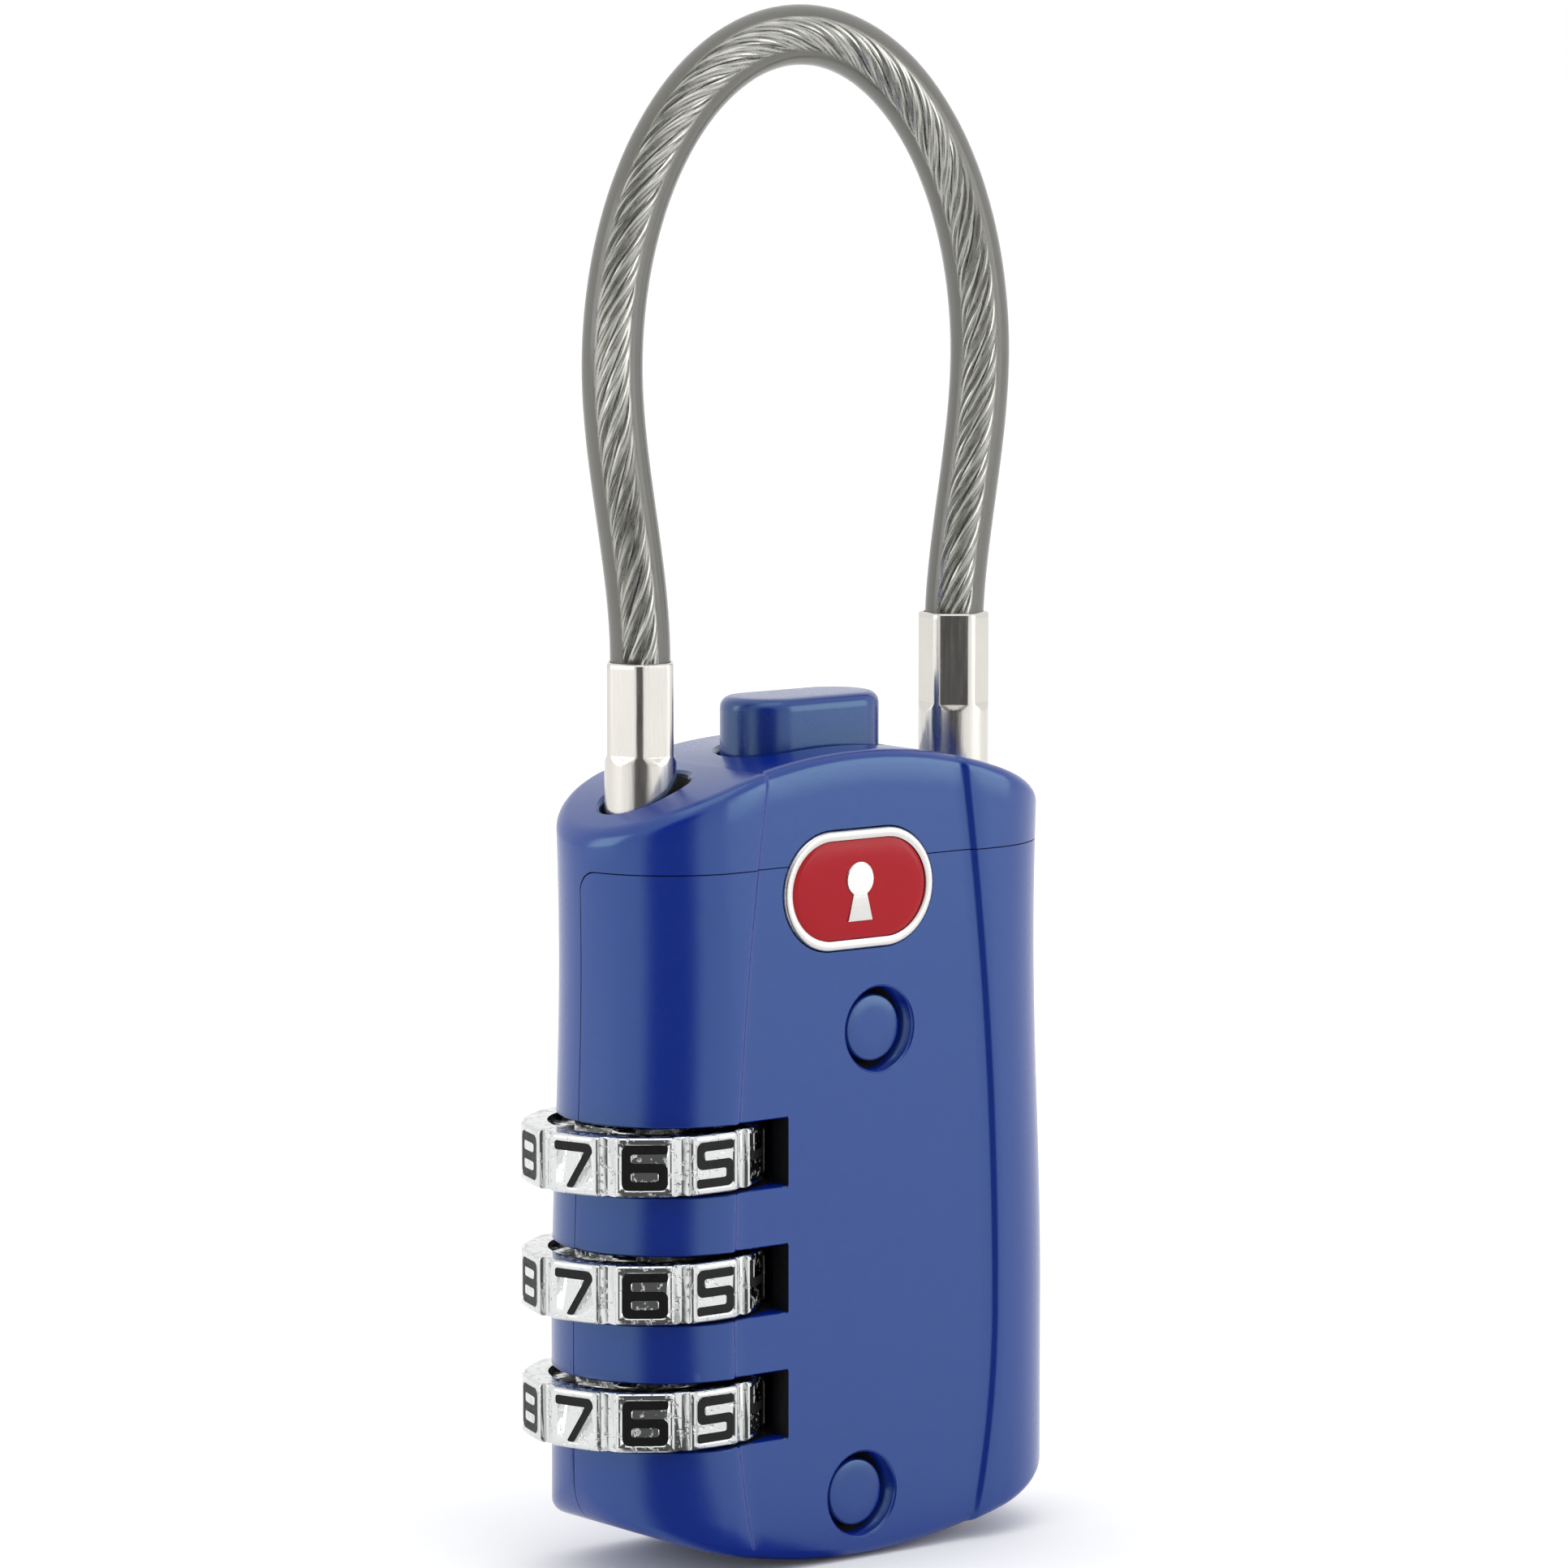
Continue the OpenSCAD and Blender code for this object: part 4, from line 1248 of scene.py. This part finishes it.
    def build(self) -> None:
        """Makes the dials and the paint in their numbers."""
        for name in ("upper", "middle", "lower"):
            node = f"{name}_dial"
            spot = Spot.of(node)
            centre, half = spot.middle, spot.size.z / 2 - self.slack
            rings = []
            for end in (-1, 1):
                for inset, short in rounding(self.rim, 90, 60, 30, 0)[:: -end]:
                    rings.append(self.outline(inset, centre.z + end * (half - short), centre))
            face = self.across / 2
            dial = Bench.node_copy(node)
            Bench.carve(dial, [Bench.lofted("dial_form", rings)], Carving.KEEP_INSIDE)
            Bench.carve(dial, [self.numerals(centre, face - self.engraved, face + 0.3, "engraver")], Carving.REMOVE)
            Bench.settle(dial, f"{name}_number_dial", self.crisp)
            Bench.hand_over(dial, CHROME, Slot.CHROME, f"{name}_dial_body", node)
            ink = self.numerals(centre, face - self.engraved - 0.01, face - self.ink_below, "ink")
            Bench.settle(ink, f"{name}_dial_number_paint")
            Bench.hand_over(ink, INK, Slot.CHROME, f"{name}_dial_body")


@dataclass
class Ferrules:
    """The two crimped cable ends."""

    flat_half: float = 1.81
    crimp_l: float = 5.4
    scallop: float = 0.36
    neck_r: float = 1.2
    bead_h: float = 1.4
    bead_lead: float = 0.6
    neck_end: float = 5.45
    groove_z: float = 1.55
    groove_h: float = 0.9
    socket_r: float = 1.68
    mouth_round: float = 0.16
    slack: float = 0.05
    chamfer: float = 0.15
    crease: float = 0.012
    free_facing: float = 22.0
    fixed_facing: float = 52.0

    # Points of one sixth of the sleeve, in degrees from the middle of a flat.
    OFFSETS = (-30, -27, -24, -22.5, -19, -13, -6.5, 0, 6.5, 13, 19, 22.5, 24, 27)

    def level(self, centre: Vector, r: float, z: float, facing: float, sink: float = 0.0) -> Ring:
        """One ring of a ferrule.

        Args:
            centre: The ferrule's middle.
            r: Radius of the round sleeve.
            z: Height.
            facing: Direction in degrees that one flat faces.
            sink: Share of the crimp's depth that is pressed in here.

        Returns:
            The ring of points.
        """
        flat = r - (r - self.flat_half) * sink
        ring = []
        for k in range(6):
            for off in self.OFFSETS:
                reach = r
                if sink > 0:
                    pressed = flat / math.cos(math.radians(off))
                    reach = -self.crease * math.log(math.exp(-r / self.crease) + math.exp(-pressed / self.crease))
                a = math.radians(facing + 60 * k + off)
                ring.append((centre.x + reach * math.cos(a), centre.y + reach * math.sin(a), z))
        return ring

    def crimped(self, spot: Spot, r: float, facing: float) -> list[Ring]:
        """The visible sleeve from below its crimp to inside its mouth.

        Args:
            spot: The ferrule's box.
            r: Radius of the round sleeve.
            facing: Direction in degrees that one flat faces.

        Returns:
            The rings, from below to above.
        """
        low = spot.high.z - self.crimp_l
        rings = [self.level(spot.middle, r, low - 0.12, facing)]
        for k in range(9):
            rings.append(self.level(spot.middle, r, low - 0.06 + self.scallop * k / 8, facing, 0.02 + 0.98 * k / 8))
        top = spot.high.z
        rings.append(self.level(spot.middle, r, top - self.mouth_round * 2.2, facing, 1.0))
        for shrink, down in rounding(self.mouth_round, 0, 30, 60, 85):
            ring = self.level(spot.middle, r, top - down, facing, 1.0)
            rings.append([self.drawn_in(p, spot.middle, shrink) for p in ring])
        for z in (top - 0.02, top - 1.2):
            rings.append(self.level(spot.middle, self.socket_r, z, facing))
        return rings

    @staticmethod
    def drawn_in(point: Point, centre: Vector, by: float) -> Point:
        """A point moved towards a ferrule's axis.

        Args:
            point: The point.
            centre: The ferrule's middle.
            by: How far it moves.

        Returns:
            The moved point.
        """
        dx, dy = point[0] - centre.x, point[1] - centre.y
        keep = 1 - by / math.hypot(dx, dy)
        return (centre.x + dx * keep, centre.y + dy * keep, point[2])

    def build(self) -> None:
        """Makes both ferrules."""
        free, fixed = Spot.of("free_ferrule"), Spot.of("fixed_ferrule")
        r = fixed.size.x / 2
        low, bead = free.low.z, r - self.slack
        shoulder, neck = low + self.bead_h, low + self.neck_end
        free_foot = [
            (bead - self.bead_lead, low), (bead, low + self.bead_lead), (bead, shoulder), (self.neck_r, shoulder),
            (self.neck_r, neck), (r - 0.1, neck), (r, neck + 0.1),
        ]
        low = fixed.low.z
        groove, wall = low + self.groove_z, low + self.groove_z + self.groove_h
        fixed_foot = [
            (r - self.chamfer, low), (r, low + self.chamfer), (r, groove), (self.neck_r, groove),
            (self.neck_r, wall), (r, wall),
        ]
        for spot, foot, facing, node, body in (
            (free, free_foot, self.free_facing, "free_ferrule", "free_end"),
            (fixed, fixed_foot, self.fixed_facing, "fixed_ferrule", "housing"),
        ):
            rings = [self.level(spot.middle, a, z, facing) for a, z in foot] + self.crimped(spot, r, facing)
            piece = Bench.settle(Bench.lofted("ferrule", rings), node.replace("_", "_crimped_"))
            Bench.hand_over(piece, NICKEL, Slot.NICKEL, body, node)


@dataclass
class Badge:
    """A generic badge: a steel rim, red enamel and a keyhole in relief."""

    rim: float = 0.55
    edge: float = 0.18
    hole_r: float = 0.95
    hole_z: float = 0.55
    foot_half: float = 0.85
    foot_z: float = -1.75

    def level(self, spot: Spot, off: float, y: float) -> Ring:
        """One ring of the badge's outline at a depth.

        Args:
            spot: Box of the piece.
            off: How far outside its outline.
            y: Where the ring lies, front to back.

        Returns:
            The ring of points.
        """
        r = spot.size.z / 2
        run = spot.size.x / 2 - r
        return [(x, y, spot.middle.z + up) for x, up in slotted(spot.middle.x, run, r + off, 72)]

    def build(self) -> None:
        """Makes the plate, the enamel and the keyhole."""
        plate = Spot.of("badge_plate")
        front, back = plate.low.y, plate.high.y
        steps = [(0.0, back)]
        steps += [(-inset, front + down) for inset, down in rounding(self.edge, 0, 30, 60, 90)]
        steps += [(-self.rim + 0.12, front), (-self.rim + 0.02, front + 0.06), (-self.rim, front + 0.35)]
        rings = [self.level(plate, off, y) for off, y in steps]
        piece = Bench.settle(Bench.lofted("plate", rings), "badge_rim_plate")
        Bench.hand_over(piece, BADGE_METAL, Slot.BADGE, "housing", "badge_plate")
        enamel = Spot.of("badge_enamel")
        face = enamel.low.y
        # domed: a steep edge, then nearly flat to the middle
        steps = [(-0.005, enamel.high.y), (-0.005, face + 0.10), (-0.08, face + 0.05), (-0.4, face + 0.02)]
        steps += [(-1.2, face), (-2.2, face - 0.01)]
        rings = [self.level(enamel, off, y) for off, y in steps]
        piece = Bench.settle(Bench.lofted("enamel", rings), "badge_red_enamel")
        Bench.hand_over(piece, ENAMEL, Slot.ENAMEL, "housing", "badge_enamel")
        self.keyhole(enamel)

    def keyhole(self, enamel: Spot) -> None:
        """Stands a keyhole symbol a little out of the enamel.

        Args:
            enamel: Box of the enamel.
        """
        middle, face = enamel.middle, enamel.low.y
        # half of the outline, from the top of the round down to the foot
        angles = [math.radians(a) for a in range(0, 151, 15)]
        half = [(self.hole_r * math.sin(a), self.hole_z + self.hole_r * math.cos(a)) for a in angles]
        half += [(self.foot_half, self.foot_z), (0.0, self.foot_z)]
        outline = half + [(-x, z) for x, z in half[-2:0:-1]]
        rings = []
        for shrink, y in ((1.0, face + 0.12), (1.0, face - 0.04), (0.95, face - 0.08)):
            rings.append([(middle.x + x * shrink, y, middle.z + z * shrink) for x, z in outline])
        piece = Bench.settle(Bench.lofted("keyhole", rings), "badge_keyhole_symbol")
        Bench.hand_over(piece, BADGE_METAL, Slot.BADGE, "housing")


@dataclass
class Cable:
    """The shackle: a seven-strand wire rope in a clear sheath."""

    loop_belly: float = 21.1
    socket_l: float = 4.8
    step: float = 0.34
    strand_lay: float = 12.0
    wire_lay: float = 9.0
    fullness: float = 1.05
    round_points: int = 28
    leg_points: int = 60
    crown_points: int = 180

    def spine(self) -> list[Vector]:
        """Evenly spaced points of the cable's centre line, from the free end to the fixed.

        Returns:
            The points.
        """
        free, fixed, sheath = Spot.of("free_ferrule"), Spot.of("fixed_ferrule"), Spot.of("cable_sheath")
        ferrule_x, radius = fixed.middle.x, sheath.size.y / 2
        reach = sheath.high.x - radius
        belly = Spot.of("rear_housing").high.z + self.loop_belly
        rise = sheath.high.z - radius - belly
        leg = free.high.z

        def leg_x(z: float) -> float:
            """Distance of a leg from the middle at a height."""
            return ferrule_x + (reach - ferrule_x) * smooth((z - leg) / (belly - leg))

        heights = [leg + (belly - leg) * i / self.leg_points for i in range(self.leg_points)]
        points = [Vector((-ferrule_x, 0, leg - self.socket_l))]
        points += [Vector((-leg_x(z), 0, z)) for z in heights]
        for i in range(self.crown_points, -1, -1):
            a = math.radians(180 * i / self.crown_points)
            points.append(Vector((reach * math.cos(a), 0, belly + rise * math.sin(a))))
        points += [Vector((leg_x(z), 0, z)) for z in reversed(heights)]
        points.append(Vector((ferrule_x, 0, fixed.high.z - self.socket_l)))
        return self.even(points)

    def even(self, points: list[Vector]) -> list[Vector]:
        """The same line with points one step apart.

        Args:
            points: Points of the line, any distance apart.

        Returns:
            Evenly spaced points, both ends kept.
        """
        total = sum((b - a).length for a, b in zip(points, points[1:]))
        count = round(total / self.step)
        made, gone, k = [points[0]], 0.0, 0
        for i in range(1, count):
            want = total * i / count
            while gone + (points[k + 1] - points[k]).length < want:
                gone += (points[k + 1] - points[k]).length
                k += 1
            piece = points[k + 1] - points[k]
            made.append(points[k] + piece * ((want - gone) / piece.length))
        return [*made, points[-1]]

    def frames(self, spine: list[Vector]) -> list[tuple[Vector, Vector, Vector]]:
        """Each point with its side and front directions; the line lies in one plane.

        Args:
            spine: The centre line's points.

        Returns:
            Point, side and front for each.
        """
        made = []
        for i, point in enumerate(spine):
            along = (spine[min(i + 1, len(spine) - 1)] - spine[max(i - 1, 0)]).normalized()
            front = Vector((0, 1, 0))
            made.append((point, along.cross(front), front))
        return made

    def rope(self, spine: list[Vector], radius: float) -> bpy.types.Object:
        """Lays the wires of the rope along the spine.

        Args:
            spine: The centre line.
            radius: Radius of the whole rope.

        Returns:
            The rope as one mesh.
        """
        strand_r = radius * self.fullness / 3
        wire_r = strand_r / 3
        curve = bpy.data.curves.new("rope", "CURVE")
        curve.dimensions = "3D"
        curve.bevel_depth = wire_r * 1.04
        curve.bevel_resolution = 1
        curve.use_fill_caps = True
        pairs = self.frames(spine)
        length = (len(spine) - 1) * self.step
        lines = [(None, None)] + [(s, w) for s in range(6) for w in range(6)] + [(s, None) for s in range(6)]
        for strand, wire in lines:
            spline = curve.splines.new("POLY")
            spline.points.add(len(pairs) - 1)
            for i, (point, side, front) in enumerate(pairs):
                run = length * i / (len(pairs) - 1)
                place = point.copy()
                if strand is not None:
                    a = 2 * math.pi * (strand / 6 - run / self.strand_lay)
                    out = side * math.cos(a) + front * math.sin(a)
                    place += out * strand_r * 2
                    if wire is not None:
                        b = 2 * math.pi * (wire / 6 - run / self.wire_lay)
                        place += (side * math.cos(b) + front * math.sin(b)) * wire_r * 2
                spline.points[i].co = (*place, 1.0)
                spline.points[i].radius = 3.0 if strand is None else 1.0
        holder = bpy.data.objects.new("rope", curve)
        bpy.context.scene.collection.objects.link(holder)
        mesh = bpy.data.meshes.new_from_object(holder.evaluated_get(bpy.context.evaluated_depsgraph_get()))
        bpy.data.objects.remove(holder)
        obj = bpy.data.objects.new("rope", mesh)
        bpy.context.scene.collection.objects.link(obj)
        return obj

    def build(self) -> None:
        """Makes the rope and the sheath, and bends them between the two ends."""
        spine = self.spine()
        core, cover = Spot.of("cable_core"), Spot.of("cable_sheath")
        rope = Bench.settle(self.rope(spine, core.size.y / 2), "shackle_wire_rope")
        radius = cover.size.y / 2
        rings = [
            [tuple(point + (side * math.cos(a) + front * math.sin(a)) * radius) for a in turns(self.round_points)]
            for point, side, front in self.frames(spine)[::2]
        ]
        sheath = Bench.settle(Bench.lofted("sheath", rings), "shackle_clear_sheath")
        runs = [front.cross(side) for _, side, front in self.frames(spine)[::2]]
        along = sheath.data.attributes.new("along", "FLOAT_VECTOR", "POINT")
        for k, value in enumerate(along.data):
            value.vector = runs[k // self.round_points]
        for piece, finish, slot, node in (
            (rope, ROPE_STEEL, Slot.ROPE, "cable_core"),
            (sheath, SHEATH, Slot.SHEATH, "cable_sheath"),
        ):
            piece.data.materials.append(finish.material())
            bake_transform(piece)
            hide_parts(node)
            log.info("%s: %d faces, bends between housing and free_end", piece.name, len(piece.data.polygons))


@dataclass(frozen=True)
class Coil:
    """A coil spring of the CAD.

    Fields: the node, the joint that presses it, its travel in millimetres, and whether it
    lies along X (pressed towards +X) or stands along Z (pressed downwards).
    """

    node: str
    joint: str
    travel: float
    lying: bool = False

    def build(self) -> None:
        """Copies the spring."""
        spot = Spot.of(self.node)
        piece = Bench.settle(Bench.node_copy(self.node), self.node + "_coil", math.radians(60))
        Bench.hand_over(piece, SPRING_STEEL, Slot.SPRING, "housing", self.node)
        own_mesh(piece)


@dataclass
class Springs:
    """The three coil springs."""

    coils: tuple[Coil, ...] = (
        Coil("button_spring", "button_press", 2.0),
        Coil("latch_spring", "latch_draw", 3.0, lying=True),
        Coil("spindle_spring", "lower_sleeve_shift", 1.2),
    )

    def build(self) -> None:
        """Makes them one by one."""
        for coil in self.coils:
            coil.build()


@dataclass
class Internals:
    """CAD nodes that keep their own shape and get a real finish."""

    finishes: dict[str, Finish] = field(
        default_factory=lambda: {
            "upper_sleeve": BRASS, "middle_sleeve": BRASS, "lower_sleeve": BRASS,
            "spindle": BOLT_STEEL, "detent_spring": SPRING_STEEL, "fence_bar": BOLT_STEEL,
            "latch_bolt": BOLT_STEEL, "retaining_clip": SPRING_STEEL, "key_plug": BRASS,
            "wafers": BRASS, "plug_cam": BOLT_STEEL, "override_slide": BOLT_STEEL,
        }
    )

    def build(self) -> None:
        """Dresses the nodes."""
        for node, finish in self.finishes.items():
            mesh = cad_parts[node].data
            mesh.materials.clear()
            mesh.materials.append(finish.material())
            log.info("%s: CAD shape, %s", node, finish.name)


@dataclass
class Studio:
    """The pale floor, the soft lights and the camera."""

    azimuth: float = -38.0
    elevation: float = 6.65
    distance: float = 0.400
    lens: float = 165.8
    target: tuple[float, float, float] = (-0.000675, 0.000527, -0.03965)
    floor_side: float = 6.0
    floor_gap: float = 0.0002
    room_light: float = 1.1
    gap_light: float = 0.1
    gap_lift: float = 4.0
    # how squarely a direction points at the dark gap: where the gap begins and where it is whole
    gap: dict[str, float] = field(default_factory=lambda: {"From Min": 0.84, "From Max": 0.965})

    def away(self, azimuth: float, elevation: float) -> Vector:
        """Direction from the lock towards an azimuth and elevation."""
        a, e = math.radians(azimuth), math.radians(elevation)
        return Vector((math.sin(a) * math.cos(e), -math.cos(a) * math.cos(e), math.sin(e)))

    def camera(self) -> None:
        """Sets the camera."""
        data = bpy.data.cameras.new("camera")
        data.lens, data.sensor_width = self.lens, 36.0
        data.clip_start, data.clip_end = 0.01, 20.0
        cam = bpy.data.objects.new("camera", data)
        back = self.away(self.azimuth, self.elevation)
        cam.location = Vector(self.target) + back * self.distance
        cam.rotation_mode = "QUATERNION"
        cam.rotation_quaternion = (-back).to_track_quat("-Z", "Y")
        bpy.context.scene.collection.objects.link(cam)
        bpy.context.scene.camera = cam

    def floor(self) -> None:
        """Lays the floor just under the lock."""
        bm = bmesh.new()
        bmesh.ops.create_grid(bm, x_segments=1, y_segments=1, size=self.floor_side / 2)
        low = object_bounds()[0].z
        bmesh.ops.translate(bm, vec=(0, 0, low - self.floor_gap), verts=bm.verts)
        obj = Bench.piece(bm, "floor")
        paper = bpy.data.materials.new("white_paper_with_painted_dark_reflection")
        paper.use_nodes = True
        tree = paper.node_tree
        shader = tree.nodes["Principled BSDF"]
        shader.inputs["Roughness"].default_value = 0.9
        shader.inputs["Specular IOR Level"].default_value = 0.0
        # the paper is white as the camera sees it, but for mirrored rays a wedge on the camera's side is painted dark
        # grey: a painted dark reflection that stands in for a dark room there
        level, ahead = (1.0, 1.0, 0.0), tuple(self.away(self.azimuth, 0))
        steps = (("MULTIPLY", level), ("NORMALIZE", level), ("DOT_PRODUCT", ahead))
        toward = add_node(tree, "ShaderNodeTexCoord").outputs["Object"]
        for operation, by in steps:
            made = add_node(tree, "ShaderNodeVectorMath", {0: toward, 1: by}, operation=operation)
            toward = made.outputs["Value" if operation == "DOT_PRODUCT" else "Vector"]
        span = {"Value": toward, **self.gap}
        front = add_node(tree, "ShaderNodeMapRange", span, interpolation_type="SMOOTHSTEP").outputs[0]
        mirrored = add_node(tree, "ShaderNodeLightPath").outputs["Is Glossy Ray"]
        dark = add_node(tree, "ShaderNodeMath", {0: front, 1: mirrored}, operation="MULTIPLY").outputs[0]
        # painted dark reflection: glossy rays see the wedge in front of the lock as dark grey
        tones = {"Factor": dark, 6: linear("#fbfbfb"), 7: linear("#555555")}
        shade = add_node(tree, "ShaderNodeMix", tones, data_type="RGBA").outputs[2]
        tree.links.new(shade, shader.inputs["Base Color"])
        obj.data.materials.append(paper)
        obj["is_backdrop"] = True

    def lamp(self, name: str, azimuth: float, elevation: float, size: float, power: float, away: float = 0.8) -> None:
        """Hangs one square soft light that looks at the lock.

        Args:
            name: The light's name.
            azimuth: Where it hangs, in degrees.
            elevation: How high, in degrees.
            size: Side of the square in metres.
            power: Power in watts.
            away: Distance in metres.
        """
        data = bpy.data.lights.new(name, "AREA")
        data.size, data.energy = size, power
        obj = bpy.data.objects.new(name, data)
        back = self.away(azimuth, elevation)
        obj.location = Vector(self.target) + back * away
        obj.rotation_mode = "QUATERNION"
        obj.rotation_quaternion = back.to_track_quat("Z", "Y")
        bpy.context.scene.collection.objects.link(obj)

    def surroundings(self) -> None:
        """A white room for the eye, with a dark gap behind the camera in what the lock mirrors."""
        world = bpy.data.worlds.new("white_room")
        world.use_nodes = True
        tree = world.node_tree
        background = tree.nodes["Background"]
        toward = add_node(tree, "ShaderNodeTexCoord").outputs["Generated"]
        middle = {0: toward, 1: tuple(self.away(self.azimuth, self.elevation + self.gap_lift))}
        facing = add_node(tree, "ShaderNodeVectorMath", middle, operation="DOT_PRODUCT").outputs["Value"]
        span = {"Value": facing, **self.gap, "To Min": self.room_light, "To Max": self.gap_light}
        room = add_node(tree, "ShaderNodeMapRange", span, interpolation_type="SMOOTHSTEP").outputs[0]
        seen = add_node(tree, "ShaderNodeLightPath").outputs["Is Camera Ray"]
        level = add_node(tree, "ShaderNodeMix", {"Factor": seen, "A": room, "B": 1.0}, data_type="FLOAT").outputs[0]
        tree.links.new(level, background.inputs["Strength"])
        background.inputs["Color"].default_value = (1.0, 1.0, 1.0, 1.0)
        bpy.context.scene.world = world

    def build(self) -> None:
        """Sets up everything."""
        self.camera()
        self.floor()
        self.surroundings()
        self.lamp("right_softbox", 42, 14, 0.5, 1.6)
        self.lamp("left_softbox", -112, 16, 0.45, 1.3)
        self.lamp("top_softbox", -20, 78, 0.6, 1.0)
        bpy.context.scene.view_settings.view_transform = "Standard"


def main() -> None:
    """Builds the lock's looks in order and writes how large they came out."""
    logging.basicConfig(level=logging.INFO, format="%(name)s: %(message)s")
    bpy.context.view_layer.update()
    form = BodyForm()
    for part in (Castings(form), PushButton(), Rivets(), Dials(), Ferrules(), Badge(), Cable(), Springs(), Internals()):
        log.info("building %s", type(part).__name__)
        part.build()
    Studio().build()


if __name__ == "__main__":
    main()
